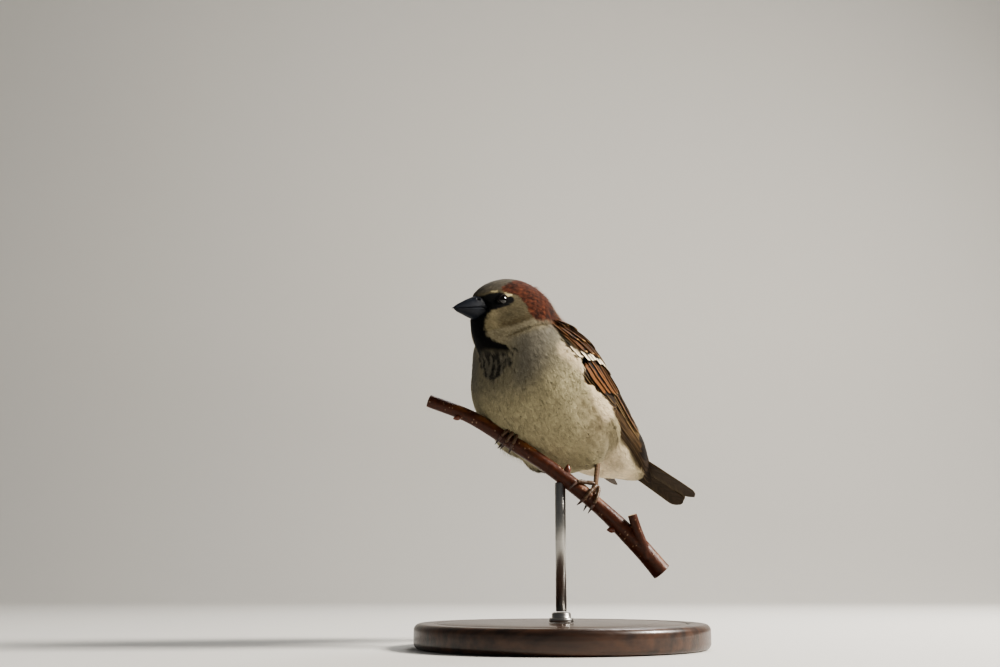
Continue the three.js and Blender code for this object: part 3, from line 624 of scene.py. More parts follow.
# Edges of the head's markings, in the head's frame: [forward or width, height] in millimetres.
CROWN_EDGE = np.array(
    [[-8, 13], [-2.8, 10.3], [3.7, 8.2], [6.6, 6.9], [8.8, 4.9], [12.4, 5.0], [18, 3.7]]
)
CHEEK_BACK = np.array(
    [[-5.5, -12], [-1.6, -7.5], [-0.8, -4.9], [0.2, -1.3], [2.0, 1.9], [4.9, 3.3], [8, 4.8]]
)
BROW = np.array([[4.2, 0.4], [5.4, 2.0], [7.4, 3.7], [10.5, 4.2], [13.4, 3.8], [16.1, 3.3], [20, 3.1]])
MASK_LOW = np.array([[4.2, 0.2], [5.0, -0.7], [7.7, -1.9], [10.6, -2.7], [13.6, -3.1], [15.1, -4.6]])
BIB = np.array(
    [[0, -32], [3.3, -30.3], [6, -28.2], [7.6, -25], [9.4, -21.2], [7.4, -17.9], [5.0, -16.3]]
    + [[3.9, -13.6], [4.1, -10.3], [5.2, -7.1], [6.2, -4.6], [7.4, -3.2], [9, -2.6]]
)
CHEEK_LOW = np.array([[-3, -7.5], [2.2, -8.9], [3.5, -9.6], [7.7, -10.5], [11, -10.9], [15, -11.6]])
COLLAR_FOLD = np.array([[-3, -10.9], [1.7, -12.3], [4, -13.0], [6.4, -13.9], [8, -14.4], [12, -15.4]])
BROW_LINE, EYE_SPOT = [[11.6, 4.7], [10.2, 4.8]], [[6.6, 3.6], [5.0, 2.5]]
CHEEK_FRONT = [[15.0, -4.9], [15.6, -8], [14.0, -11.5]]

# Lines along the flank, in the body's frame on its left side: a dusky patch, a pale stripe under
# the wing that is partly its own pale and partly painted light, and the rear in painted shade.
FLANK_SMUDGE = [[3, 26.5, -7], [-4.6, 25.6, -5.5], [-12, 24.3, -5]]
FLANK_PALE_AND_LIT = [[22, 25, 6.5], [14, 27, 5], [0, 28, 1], [-12, 25.5, 1.5]]
FLANK_REAR_SHADE = [[-14, 23.5, -9], [-21, 21.5, -7], [-33, 16.5, -2], [-43, 15, 2.5]]


def near_line(local, places, radius):
    """1 on a line through places, falling to 0 at radius from it."""
    places = np.array(places, float)
    nearest = np.full(local.shape[:-1], np.inf)
    for start, way in zip(places[:-1], np.diff(places, axis=0)):
        share = np.clip((local - start) @ way / (way @ way), 0, 1)[..., None]
        nearest = np.minimum(nearest, np.linalg.norm(local - start - share * way, axis=-1))
    return soft(radius, radius * 0.35, nearest)


def over(ground, colour, mask):
    """A colour laid over the ground by a mask from 0 to 1."""
    return ground + (colour - ground) * mask[..., None]


def streaks(body, across, along, seed):
    """Soft random streaks of about -1 to 1 that run down the bird: long one way, thin the other."""
    return ripple(body * [1 / along, 1 / across, 1 / across], 1.0, seed)


def trunk_layers(body):
    """The trunk's areas as colours and masks, from the belly outward, and the mantle's mask."""
    f, a, u = body[..., 0], np.abs(body[..., 1]), body[..., 2]
    sided = np.stack([f, a, u], -1)
    smudged = near_line(sided, FLANK_SMUDGE, 5.5) * soft(-1.2, 1.2, streaks(body, 4.0, 9.0, 43))
    mantle = soft(11, 16, u) * soft(-30, -18, f) * soft(36, 30, f + 0.3 * (u - 24))
    return [
        (FLANK, 0.6 * soft(10, 22, a) * soft(-18, -4, u) * soft(12, 0, f)),
        (DUSKY_AND_SHADE, 0.7 * smudged),
        (VENT, soft(-30, -38, f) * soft(9, 1, u)),
        # The flank's rear under the wing is darkened: painted shade.
        (DUSKY_AND_SHADE, 0.45 * near_line(sided, FLANK_REAR_SHADE, 12)),
        (BREAST, 0.8 * soft(15, 27, f + 0.2 * u)),
        (ASH, 0.8 * soft(22, 32, f) * soft(7, 14, a)),
        # The stripe along the wing's edge is the flank's pale colour, brightened further as painted light.
        (PALE_AND_LIT, 0.9 * near_line(sided, FLANK_PALE_AND_LIT, 6.5)),
        (RUMP, soft(-16, -26, f) * soft(3, 9, u)),
        (MANTLE, mantle),
    ], mantle


def head_layers(head, body, on_head):
    """The head's markings as colours and masks, in painting order, and the broken bib's mask."""
    f, a, u = head[..., 0], np.abs(head[..., 1]), head[..., 2]
    profile = head[..., [0, 2]]
    over_fold, over_cheek, over_crown_edge, over_brow, over_mask_low = (
        u - np.interp(f, *line.T) for line in (COLLAR_FOLD, CHEEK_LOW, CROWN_EDGE, BROW, MASK_LOW)
    )
    fold = soft(0.75, 0.1, np.abs(over_fold)) * soft(9, 6, f) * on_head
    cheek = soft(-0.3, 0.5, over_cheek) * on_head
    cheek_rim = soft(2.0, 0.4, np.abs(over_cheek - 1.0)) * soft(13, 10, f) * on_head
    behind = f - np.interp(u, CHEEK_BACK[:, 1], CHEEK_BACK[:, 0])
    nape = soft(0.5, -0.5, behind) * soft(-11, -8, u) * soft(-19, -15, f)
    tufted = CHESTNUT * (1 + 0.6 * streaks(head, 1.5, 3.2, 44)[..., None])
    crown = soft(-0.4, 0.5, over_crown_edge) * soft(-9, -5, f)
    lined = soft(0.2, 0.9, streaks(head, 1.3, 6.0, 45))
    mask = soft(0.3, -0.3, over_brow) * soft(-0.3, 0.3, over_mask_low) * soft(3.9, 4.6, f)
    width = np.interp(u, BIB[:, 1], BIB[:, 0])
    width = width + 1.6 * streaks(body, 3.0, 6.0, 47) * soft(-17, -21, u) * soft(-32, -29, u)
    bib = soft(0.5, -0.5, a - width) * soft(-4, 2, f) * soft(-2.4, -3.2, u)
    broken = soft(-17.5, -21.0, u + 0.25 * a)
    return [
        (COLLAR, 0.9 * soft(-2.8, -0.8, over_fold) * on_head),
        # Painted shade darkens the collar's fold, where the coat sinks into a crease.
        (DUSKY_AND_SHADE * 0.7, 0.8 * fold),
        (CHEEK, cheek),
        (DUSKY_AND_SHADE, 0.55 * cheek_rim),
        (CHEEK_PALE, 0.9 * cheek * near_line(profile, CHEEK_FRONT, 5.0)),
        (tufted, nape),
        (CROWN, crown),
        (CROWN * 0.55, 0.6 * crown * lined),
        (CROWN, 0.35 * nape * soft(4, 1, a)),
        (THROAT_GREY, 0.75 * bib * broken),
        (INK, np.maximum(mask, bib * (1 - broken))),
        (BROW_SPOT, 0.6 * near_line(profile, BROW_LINE, 0.55)),
        (BROW_SPOT, near_line(profile, EYE_SPOT, 0.8)),
    ], bib * broken


def plumage(points):
    """The plumage's colour at points, how far it is broken bib there, and how far it is mantle.

    The layers' edges are shaken a little, so that they break up feather by feather.
    """
    shaken = points + 0.22 * np.stack([ripple(points, 1.9, 11 + k) for k in range(3)], -1)
    head, body = into(HEAD, shaken), into(BODY, shaken)
    on_head = soft(32, 36, body[..., 0] + 0.15 * body[..., 2])
    trunk, mantle = trunk_layers(body)
    markings, broken_bib = head_layers(head, body, on_head)
    colour = np.broadcast_to(CREAM, points.shape) * (1 + 0.05 * ripple(points, 9.0, 41))[..., None]
    for tone, mask in trunk + markings:
        colour = over(colour, tone, mask)
    tousled = 0.13 * streaks(head, 1.1, 2.8, 48) * on_head + 0.05 * streaks(body, 2.2, 7.0, 49)
    return colour * (1 + tousled)[..., None], broken_bib, mantle


u_row = np.linspace(0, 1, SKIN_ROWS)
v_column = np.linspace(0, 1, SKIN_COLUMNS, endpoint=False)
u_grid, v_grid = np.meshgrid(u_row, v_column, indexing="ij")
skin_grid = body_surface(u_grid, v_grid, 1.0)
skin_points, skin_faces = closed_tube(body_surface(u_grid[1:-1], v_grid[1:-1], 1.12))
skin_tint = plumage(skin_points)[0] * 0.8
tuft_map = np.stack([v_grid[1:-1], u_grid[1:-1]], -1).reshape(-1, 2)
tuft_map = np.vstack([tuft_map, [[0.5, 0.0], [0.5, 1.0]]])

DOWN_SHADOW = np.array([0.02, 0.018, 0.015])
down, nodes = new_material("skin_down")
fluff = nodes.noise(nodes.spot(), 1400.0, 3.0)
shadowed = nodes.mixed(nodes.math("MULTIPLY", fluff, 0.6), nodes.read("tint", "Color"), DOWN_SHADOW)
nodes.end({"Base Color": shadowed, "Normal": nodes.bump(fluff, 0.0003, 0.7), "Roughness": 0.95})

skin = put_mesh("skin", skin_points, skin_faces, {"tint": skin_tint}, maps={"OFBake": tuft_map})
fit_piece(skin, down, "plumage", "head", "neck", "torso")


# ------------------------------------------------------------------ legs and feet
# Slim dull brown legs: a column of horny plates down the front of each, small scales behind,
# and four toes with soft pads below and a plate over each joint, closed round the branch.

GAP = 0.3  # clearance between the toes and the bark
KNEES = {"left": [18.5, 26, 83.6], "right": [-19, 12, 102.5]}
FEET = {"left": (11.2, 2.4), "right": (-21.4, 2.0)}  # place along the branch, ankle over bark
ANKLE_ROUND = -9.6
TARSUS_TOP, TARSUS_BOTTOM = 1.3, 0.95
FRONT_PLATES, PLATE_RISE = 13, 0.09
TOES = {
    # shift along the branch at root and tip, degrees round it at root and tip, half thickness
    side: [
        (-0.5, inner_tip, 8 if side == "left" else 10, inner_turn, 0.85),
        (0, middle_tip, 15, 118, 0.95),
        (0.6, outer_tip, 10, 104, 0.85),
        (0, hind_tip, -20, -112, 1.0),
    ]
    for side, inner_tip, inner_turn, middle_tip, outer_tip, hind_tip in (
        ("left", -5.6, 66, -0.4, 3.0, 1.5),
        ("right", -2.5, 100, -0.1, 2.3, -1.2),
    )
}
JOINTS = 4  # along a toe
CLAW_FROM, CLAW_SWEEP, CLAW_ASIDE = 4.0, 52.0, 0.5


def limb(line, radius, sides, front):
    """A tube with its radius given at each point and angle, which is 0 on its front.

    Gives the points, faces, share of the way along and angle of each point.
    """
    along, side, _ = swept_frames(line, front)
    other = np.cross(along, side)
    angle = round_angles(sides)
    gone = np.linspace(0, 1, len(line))
    rings = side[:, None] * np.cos(angle)[:, None] + other[:, None] * np.sin(angle)[:, None]
    rings = line[:, None] + rings * radius(gone[:, None], angle[None])[..., None]
    points, faces = closed_tube(rings)
    place = side_by_side(gone[:, None], np.cos(angle)[None]).reshape(-1, 2)
    return points, faces, np.vstack([place, [[0, 0], [1, 0]]])


def plates(gone, count, sharp=0.75):
    """Height over each of a row of overlapping plates: a slow rise, then a quick fall."""
    step = (gone * count) % 1
    return np.where(step < sharp, step / sharp, (1 - step) / (1 - sharp))


def leg(side):
    """The tarsus from inside the belly's feathers to the ankle over the branch."""
    foot, out = FEET[side]
    knee, ankle = np.array(KNEES[side], float), perch_at(foot, ANKLE_ROUND, out)
    line = knee + (ankle - knee) * np.linspace(0, 1, 110)[:, None]

    def radius(gone, angle):
        """Slimmer toward the ankle, with plates in front and fine grain behind."""
        slim = TARSUS_TOP + (TARSUS_BOTTOM - TARSUS_TOP) * np.sin(np.pi / 2 * gone)
        slim = slim + 0.35 * soft(0.9, 1.0, gone)
        shin = soft(-0.2, 0.5, np.cos(angle))
        scutes = PLATE_RISE * plates(gone, FRONT_PLATES) * shin
        grain = 0.035 * np.sin(7 * angle + 2) * np.sin(gone * 160) * (1 - shin)
        return slim * (1 + 0.1 * np.cos(2 * angle)) + scutes + grain

    return limb(line, radius, 28, np.array([-0.75, -0.66, 0.0]))


def toe(side, shift, tip_shift, turn_from, turn_to, thick):
    """One toe: it leaves the ankle, comes down on the bark and closes round the branch."""
    gone = np.linspace(0, 1, 64)
    foot = FEET[side][0]
    rise = 1.6 * np.maximum(1 - 3 * gone, 0) ** 1.5
    line = perch_at(
        foot + shift + (tip_shift - shift) * np.sqrt(gone),
        turn_from + (turn_to - turn_from) * gone,
        GAP + thick * 0.95 + rise,
    )
    bark_way = perch_at(foot, 0, 0) - perch_at(foot, 0, 1)

    def radius(gone_, angle):
        """Thicker at the joints, with pads below and small plates above."""
        knuckle = np.abs(np.sin(np.pi * JOINTS * gone_)) ** 1.5
        slim = thick * (1.04 - 0.22 * gone_)
        pad = 0.13 * knuckle * soft(0.2, 0.9, np.cos(angle))
        top_plates = 0.07 * plates(gone_, 3 * JOINTS) * soft(0.1, -0.6, np.cos(angle))
        close = 1 - 0.55 * soft(0.9, 1.0, gone_)
        return (slim * (0.88 + 0.1 * knuckle) + top_plates + pad * 0.6) * close

    return limb(line, radius, 20, unit(bark_way))


def claw(side, toe_sizes):
    """A sharp curved claw beyond a toe's end, thickest at its root and flat-sided."""
    shift, tip_shift, _, turn_to, _ = toe_sizes
    gone = np.linspace(0, 1, 26)
    way = np.sign(turn_to)
    line = perch_at(
        FEET[side][0] + tip_shift + np.sign(tip_shift - shift) * CLAW_ASIDE * gone,
        turn_to + way * (CLAW_FROM + CLAW_SWEEP * gone),
        GAP + 0.85 + 1.35 * gone * gone,
    )

    def radius(gone_, angle):
        """Thins to a point, narrower from side to side, and closed at its root."""
        thick = 0.58 * (1 - gone_) ** 0.7 + 0.05
        return thick * (1 + 0.22 * np.cos(2 * angle)) * soft(-0.3, 0.06, gone_)

    return limb(line, radius, 18, np.array([0.0, -0.2, 1.0]))


def ankle_knob(side):
    """The joint where the toes meet the tarsus: a soft rounded knuckle."""
    foot, out = FEET[side]
    ankle = perch_at(foot, ANKLE_ROUND, out)
    palm = perch_at(foot, 3, 1.25)
    gone = np.linspace(-0.55, 1.1, 40)[:, None]
    line = ankle + (palm - ankle) * gone

    def radius(share, angle):
        """A ball drawn out along the foot."""
        return 1.42 * np.sqrt(np.maximum(1 - (2 * share - 1) ** 4, 0.02)) + 0.05 * np.cos(3 * angle)

    return limb(line, radius, 24, np.array([-0.75, -0.66, 0.0]))


scaled, nodes = new_material("leg_skin")
blotch = nodes.noise(nodes.spot(), 260.0, 3.0)
mottled = nodes.mixed(blotch, shade(62, 46, 34), shade(108, 84, 60))
crease = nodes.ranged(nodes.split(nodes.read("place", "Vector"))[2], 0.0, 0.25, 0.65, 0.0)
nodes.end({
    "Base Color": nodes.mixed(crease, mottled, shade(56, 34, 27)),
    "Normal": nodes.bump(nodes.cells(nodes.spot(), 2100.0, feature="DISTANCE_TO_EDGE"), 0.0001, 0.5),
    "Roughness": 0.42,
    "Specular IOR Level": 0.45,
})

horn, nodes = new_material("claw_horn")
tip_share = nodes.ranged(nodes.split(nodes.read("place", "Vector"))[0], 0.0, 0.6)
claw_tone = nodes.mixed(tip_share, shade(86, 60, 50), shade(24, 19, 18))
horn_grain = nodes.math("MULTIPLY", nodes.noise(nodes.spot(), 900.0, 3.0), 0.35)
nodes.end({"Base Color": nodes.mixed(horn_grain, claw_tone, shade(120, 96, 84)), "Roughness": 0.3})

def horny_piece(name, node, parts, creases, material, slot):
    """A leg, foot or claw. Its last column says how near a point is to a crease of the plates."""
    points, faces, place = joined(parts)
    step = (place[:, 0] * creases) % 1
    seam = np.minimum(step, 1 - step) if creases else place[:, 0]
    piece = put_mesh(name, points, faces, values={"place": np.column_stack([place, seam])})
    fit_piece(piece, material, slot, node)


for side in ("left", "right"):
    foot = [toe(side, *one) for one in TOES[side]] + [ankle_knob(side)]
    horny_piece(f"leg_{side}_scaled", f"leg_{side}", [leg(side)], FRONT_PLATES, scaled, "leg_skin")
    horny_piece(f"foot_{side}_scaled", f"foot_{side}", foot, 3 * JOINTS, scaled, "leg_skin")
    for number, one in enumerate(TOES[side], 1):
        node = f"claw_{side}_{number}"
        horny_piece(f"{node}_curved", node, [claw(side, one)], 0, horn, "claw_horn")


# ------------------------------------------------------------------ eyes
# Each eye is a glossy ball with a dark brown iris round a black pupil, seen through an oval
# opening between an upper and a lower lid of bare dark skin, edged with fine beads.

LID_OPENING = (1.95, 1.7)  # half length and half height of the opening
LID_OUTER = 0.85  # how much wider the lid's hidden outer edge is
LID_RISE, BEADS, BEAD_RISE = 0.34, 34, 0.035
LID_CORNERS = ((0.0, 0.28), (np.pi, 0.22))  # direction and length of the opening's two corners
CORNEA_RISE = 0.12
SIDES = {"left": 1, "right": -1}


def eye_ball(sign):
    """A ball whose front bulges a little, as the clear cornea does over the iris.

    The radius is the eye's, plus a low round hump about the outward axis. Gives the distance of
    each point from that axis too, for the iris.
    """
    polar = np.linspace(0.02, np.pi - 0.02, 64)[:, None]
    angle = round_angles(96)[None]
    radius = EYE_RADIUS + CORNEA_RISE * soft(0.95, 0.0, polar) - 0.04
    flat = np.sin(polar)
    local = side_by_side(flat * np.cos(angle), sign * np.cos(polar), flat * np.sin(angle))
    points, faces = closed_tube(out_of(HEAD, EYE_AT * [1, sign, 1] + local * radius[..., None]))
    spread = np.append(np.broadcast_to(np.sin(polar), (64, 96)).ravel(), [0, 0])
    return points, faces, spread


def lid_ring(sign):
    """The lids: a rounded rim round the opening that follows the ball and dives under feathers.

    Across the ring a point starts against the ball, rises over the beaded edge and goes out and
    down again. Its distance from the eye's axis grows by the lid's width meanwhile.
    """
    angle = round_angles(120)[None]
    across = np.linspace(0, 1, 14)[:, None]
    corner = sum(
        size * np.exp(-((np.angle(np.exp(1j * (angle - way))) / 0.35) ** 2))
        for way, size in LID_CORNERS
    )
    wide = 1 / np.hypot(np.cos(angle) / LID_OPENING[0], np.sin(angle) / LID_OPENING[1])
    reach = wide + corner + LID_OUTER * across
    beads = BEAD_RISE * np.sin(BEADS * angle) * np.exp(-(((across - 0.22) / 0.14) ** 2))
    high = LID_RISE * np.sin(np.pi * np.clip(across * 1.6, 0, 1)) * (1 - 0.4 * across) + beads
    ball = np.sqrt(np.maximum(EYE_RADIUS**2 - np.minimum(reach, 3.1) ** 2, 0.0))
    height = ball + high + 0.02 - 0.5 * across**3
    upper, lower = (
        np.stack([reach * np.cos(angle), sign * level, reach * np.sin(angle)], -1)
        for level in (height, ball - 0.35 - 0.6 * across)
    )
    loop = np.concatenate([upper, lower[::-1]]).transpose(1, 0, 2)
    rings = out_of(HEAD, EYE_AT * [1, sign, 1] + loop)
    count, sides = rings.shape[:2]
    faces = grid_faces(count + 1, sides, True) % (count * sides)
    return rings.reshape(-1, 3), [faces]


eye_gloss, nodes = new_material("eye")
spread = nodes.read("spread")
iris = nodes.mixed(nodes.noise(nodes.spot(), 1800.0), shade(10, 6, 5), shade(24, 14, 10))
pupil = np.array([0.001, 0.001, 0.001])
ringed = nodes.mixed(nodes.ranged(spread, 0.4, 0.46), pupil, iris)
nodes.end({
    "Base Color": nodes.mixed(nodes.ranged(spread, 0.64, 0.72), ringed, shade(16, 11, 9)),
    "Roughness": 0.06,
    "Coat Weight": 0.35,
    "Coat Roughness": 0.02,
})

lid_skin, nodes = new_material("lid_skin")
pebble = nodes.cells(nodes.spot(), 2600.0)
nodes.end({
    "Base Color": nodes.mixed(pebble, shade(12, 10, 10), shade(30, 24, 21)),
    "Normal": nodes.bump(pebble, 0.0001, 0.5),
    "Roughness": 0.6,
    "Specular IOR Level": 0.2,
})

for side, sign in SIDES.items():
    points, faces, spread = eye_ball(sign)
    ball = put_mesh(f"eye_{side}_ball", points, faces, values={"spread": spread})
    fit_piece(ball, eye_gloss, "eye", f"eye_{side}")
    fit_piece(put_mesh(f"eye_{side}_lids", *lid_ring(sign)), lid_skin, "leg_skin")


# ------------------------------------------------------------------ bill
# A short, deep, pointed bill of blue-black horn in two halves: a curved ridge above, a straight
# cutting edge that bends down at the gape, a nostril at each side, and fine growth lines.

# Sections: forward place, heights of culmen, mouth and chin, half width.
BILL = np.array(
    [[11, 4.6, -0.9, -7.2, 4.7], [14, 4.3, -1.3, -6.9, 4.6], [17, 3.7, -1.5, -6.3, 4.1]]
    + [[20, 2.8, -1.5, -5.3, 3.4], [23, 1.6, -1.5, -4.0, 2.5], [26, 0.3, -1.4, -2.7, 1.4]]
    + [[27.9, -0.7, -1.4, -1.9, 0.6]]
)
BILL_END = 28.7  # forward place of the upper half's point
OVERBITE, SLIT, GAPE_DROP = 0.9, 0.1, 1.3
TIP_ROUND = 1.6  # length over which the point is rounded off
NOSTRIL_DEPTH, NOSTRIL_RIM = 0.55, 0.12
NOSTRIL_AT, NOSTRIL_SIZE = (17.2, 1.9), (0.95, 0.55)


def smooth_rows(table, place, column):
    """A column of a table of sections, at forward places between them, as a smooth curve."""
    forward = table[:, 0]
    slope = np.gradient(table[:, column], forward)
    i = np.clip(np.searchsorted(forward, place) - 1, 0, len(forward) - 2)
    gap = forward[i + 1] - forward[i]
    w = (place - forward[i]) / gap
    a, b = table[i, column], table[i + 1, column]
    rise = a * (1 + 2 * w) * (1 - w) ** 2 + b * w * w * (3 - 2 * w)
    return rise + gap * (slope[i] * w * (1 - w) ** 2 + slope[i + 1] * w * w * (w - 1))


def bill_half(column, sign):
    """One half of the bill: arches over its cutting edge, shrinking to the tip.

    Each section is an arch with rounded shoulders. The cutting edge overhangs a little, the
    ridge is blunt, and the nostril is a dimple with a raised rim. Gives the share of the way to
    the tip and how deep in the nostril each point is.
    """
    root = BILL[0, 0]
    reach = BILL_END - (OVERBITE if sign < 0 else 0) - root
    gone = np.linspace(0, 1, 90)[:, None]
    forward = root + reach * (1 - (1 - gone) ** 1.15)
    tip_close = np.sqrt(np.clip((root + reach - forward) / TIP_ROUND, 0, 1))
    inside = np.minimum(forward, BILL[-1, 0])
    mouth = smooth_rows(BILL, inside, 2) - GAPE_DROP * soft(17, 13, forward)
    edge = mouth + sign * SLIT
    high = np.abs(smooth_rows(BILL, inside, column) - edge) * tip_close + 0.02
    half = smooth_rows(BILL, inside, 4) * tip_close + 0.02
    angle = round_angles(72)[None]
    arch = np.maximum(np.sin(angle), 0)
    across = np.sign(np.cos(angle)) * np.abs(np.cos(angle)) ** 0.88 * (1 - 0.1 * arch)
    height = edge + sign * arch**0.86 * high
    lip = 0.1 * soft(0.3, 0.0, arch) * soft(0.0, 0.05, arch) * tip_close
    lateral = half * across + np.sign(np.cos(angle)) * lip
    dimple = np.zeros_like(lateral)
    if sign > 0:
        ahead, above = forward - NOSTRIL_AT[0], height - NOSTRIL_AT[1]
        off = np.hypot(ahead / NOSTRIL_SIZE[0], above / NOSTRIL_SIZE[1])
        dimple = soft(1.0, 0.35, off) * (arch > 0)
        rim = NOSTRIL_RIM * np.exp(-(((off - 1.15) / 0.3) ** 2)) * (arch > 0)
        lateral = lateral - np.sign(np.cos(angle)) * (NOSTRIL_DEPTH * dimple - rim)
    points, faces = closed_tube(out_of(HEAD, side_by_side(forward, lateral, height)))
    place = side_by_side(gone, dimple, arch).reshape(-1, 3)
    return points, faces, np.vstack([place, [[0, 0, 0], [1, 0, 0]]])


bill_horn, nodes = new_material("bill_horn")
toward_point, in_nostril, _ = nodes.split(nodes.read("place", "Vector"))
cloudy = nodes.noise(nodes.spot(), 240.0, 4.0)
growth = nodes.noise(nodes.spot((1, 0.2, 1), (0, 0, 0.96)), 1500.0, 3.0)
horn_tone = nodes.mixed(cloudy, shade(8, 10, 15), shade(24, 30, 42))
base_share = nodes.ranged(toward_point, 0.0, 0.45, 0.45, 0.0)
# The nostril's dimple is painted near black: painted shade in its opening.
nostril_shade = np.array([0.003, 0.003, 0.003])
nodes.end({
    "Base Color": nodes.mixed(
        in_nostril, nodes.mixed(base_share, horn_tone, shade(30, 30, 32)), nostril_shade
    ),
    "Roughness": nodes.ranged(growth, 0.3, 0.7, 0.42, 0.62),
    "Normal": nodes.bump(growth, 0.00006, 0.5),
    "Specular IOR Level": 0.3,
})

for name, column, sign in (("bill_upper", 1, 1), ("bill_lower", 3, -1)):
    points, faces, place = bill_half(column, sign)
    half = put_mesh(f"{name}_horn", points, faces, values={"place": place})
    fit_piece(half, bill_horn, "bill_horn", name)


# ------------------------------------------------------------------ wings
# Each folded wing is a stack of stiff feathers over the flank: primaries and secondaries below,
# tertials over them, then greater, median and lesser coverts like tiles, and scapulars on top.

# The form that the folded wing lies on: forward place, half width, height and middle height.
HULL = np.array(
    [[30, 21, 19, 6], [12, 28.3, 26.4, 2.5], [-10, 26.6, 22.6, 4], [-30, 21.9, 16, 7.5]]
    + [[-45, 18, 11.4, 11], [-57, 15, 9, 12], [-67, 12, 7, 11.5], [-82, 8, 5, 11]]
)


def refined(lines, rows):
    """Smooth lines through given points, at more evenly spread places: cubic between them."""
    count = lines.shape[1]
    place = np.linspace(0, count - 1, rows)
    i = np.minimum(place.astype(int), count - 2)
    w = (place - i)[None, :, None]
    at = [lines[:, np.clip(i + k, 0, count - 1)] for k in (-1, 0, 1, 2)]
    bend = 2 * at[0] - 5 * at[1] + 4 * at[2] - at[3]
    return at[1] + 0.5 * w * (at[2] - at[0] + w * (bend + w * (3 * (at[1] - at[2]) + at[3] - at[0])))


def vane_faces(rows, columns):
    """Quads of one closed blade: an upper grid, and a lower one that shares its rim."""
    upper = np.arange(rows * columns).reshape(rows, columns)
    lower = upper.copy()
    lower[1:-1, 1:-1] = rows * columns + np.arange((rows - 2) * (columns - 2)).reshape(rows - 2, -1)
    first, second = (
        np.stack([grid[:-1, :-1], grid[:-1, 1:], grid[1:, 1:], grid[1:, :-1]], -1).reshape(-1, 4)
        for grid in (upper, lower)
    )
    return np.concatenate([first, second[:, ::-1]])


def repeated(one, size, count):
    """The faces of one shape of this many points, for a count of such shapes."""
    return (one[None] + size * np.arange(count)[:, None, None]).reshape(-1, one.shape[1])


def vanes(centre, normal, half, gone, widths, across, thick, camber, fray, tilt=0.0):
    """Points of many closed blades, and their (across, along) places.

    A point is centre + side * half * width * x + normal * (camber * half * (1 - x^2) + half the
    thickness * (1 - x^4)), with x the place across, and the lower face as far below. fray shifts
    each point of the last rows along the blade. tilt turns the side direction about the blade.
    """
    count = len(centre)
    along = unit(np.gradient(centre, axis=1))
    side = unit(np.cross(normal, along))
    up = np.cross(along, side)
    if tilt:
        side, up = side * np.cos(tilt) + up * np.sin(tilt), up * np.cos(tilt) - side * np.sin(tilt)
    x = across[None, None, :, None]
    wide = (half[:, None] * widths[None])[:, :, None, None]
    plump = thick[:, None, None, None] * (1 - x**4) / 2
    middle = centre[:, :, None] + side[:, :, None] * wide * x
    middle = middle + up[:, :, None] * camber * wide * (1 - x**2)
    middle = middle + along[:, :, None] * fray[..., None]
    upper, lower = middle + up[:, :, None] * plump, middle - up[:, :, None] * plump
    points = np.concatenate(
        [upper.reshape(count, -1, 3), lower[:, 1:-1, 1:-1].reshape(count, -1, 3)], 1
    )
    place = side_by_side(across[None], gone[:, None])
    place = np.concatenate([place.reshape(-1, 2), place[1:-1, 1:-1].reshape(-1, 2)])
    return points, np.broadcast_to(place, (count, *place.shape))


# Fine lines of the barbs on a vane, from its own (across, along, number) attribute.
barb_lines = bpy.data.node_groups.new("barb_lines", "ShaderNodeTree")
for in_out, names in (("INPUT", ("Barbs", "Slant")), ("OUTPUT", ("Lines", "Clumps"))):
    for name in names:
        barb_lines.interface.new_socket(name, in_out=in_out, socket_type="NodeSocketFloat")
given = barb_lines.nodes.new("NodeGroupInput").outputs
nodes = Nodes(barb_lines)
across, along, feather = nodes.split(nodes.read("vane", "Vector"))
slanted = nodes.math("MULTIPLY", nodes.math("ABSOLUTE", across), given["Slant"])
place = nodes.math("SUBTRACT", along, slanted)
strip = nodes.add("CombineXYZ", {0: place, 1: feather, 2: nodes.math("MULTIPLY", across, 0.02)})
fine = nodes.noise(strip.outputs[0], given["Barbs"])
coarse = nodes.noise(strip.outputs[0], nodes.math("MULTIPLY", given["Barbs"], 0.16), 3.0)
nodes.feed(barb_lines.nodes.new("NodeGroupOutput"), {"Lines": fine, "Clumps": coarse})


def barbs_in(nodes, count, slant):
    """Places the barb group in a material, and gives its outputs."""
    group = nodes.add("Group", {}, node_tree=barb_lines)
    nodes.feed(group, {"Barbs": count, "Slant": slant})
    return group.outputs


def hull_at(f, degrees, lift):
    """Points over the form that the wing lies on: an ellipse round each forward place."""
    width, height, middle = (smooth_rows(HULL[::-1], f, k) for k in (1, 2, 3))
    angle = np.radians(degrees)
    lateral, high = (width + lift) * np.cos(angle), middle + (height + lift) * np.sin(angle)
    return out_of(BODY, side_by_side(f, lateral, high))


def wing_edge(forward):
    """Degrees round the hull of the wing's lower edge at a forward place."""
    return np.interp(forward, *WING_EDGE.T)


def between(first, last, share):
    """The value at a share of the way from first to last."""
    return first + (np.asarray(last, float) - first) * share


SHAFT_AT, SHAFT_RISE = -0.33, 0.13  # place across a flight feather, and height
TIP_FRAY, TIP_ROUNDING = 0.12, 0.12  # in millimetres, and in half widths
FLIGHT_COLUMNS = np.array(
    [-1, -0.96, -0.86, -0.68, -0.48, -0.38, -0.33, -0.28, -0.18, 0.05, 0.35, 0.65, 0.87, 0.97, 1]
)
COVERT_COLUMNS = np.array([-1, -0.9, -0.6, -0.2, -0.07, 0.07, 0.3, 0.6, 0.9, 1])
BROWN, BROWN_DARK, DUSK = shade(74, 56, 38), shade(44, 32, 22), shade(26, 18, 13)
BUFF, SAND, RUFOUS = shade(96, 78, 52), shade(176, 142, 98), shade(100, 66, 38)
WHITE_TIP, MAROON, TAWNY = shade(246, 232, 204), shade(60, 38, 25), shade(112, 72, 38)
OLIVE, GREY_UNDER = shade(52, 40, 26), shade(50, 43, 34)

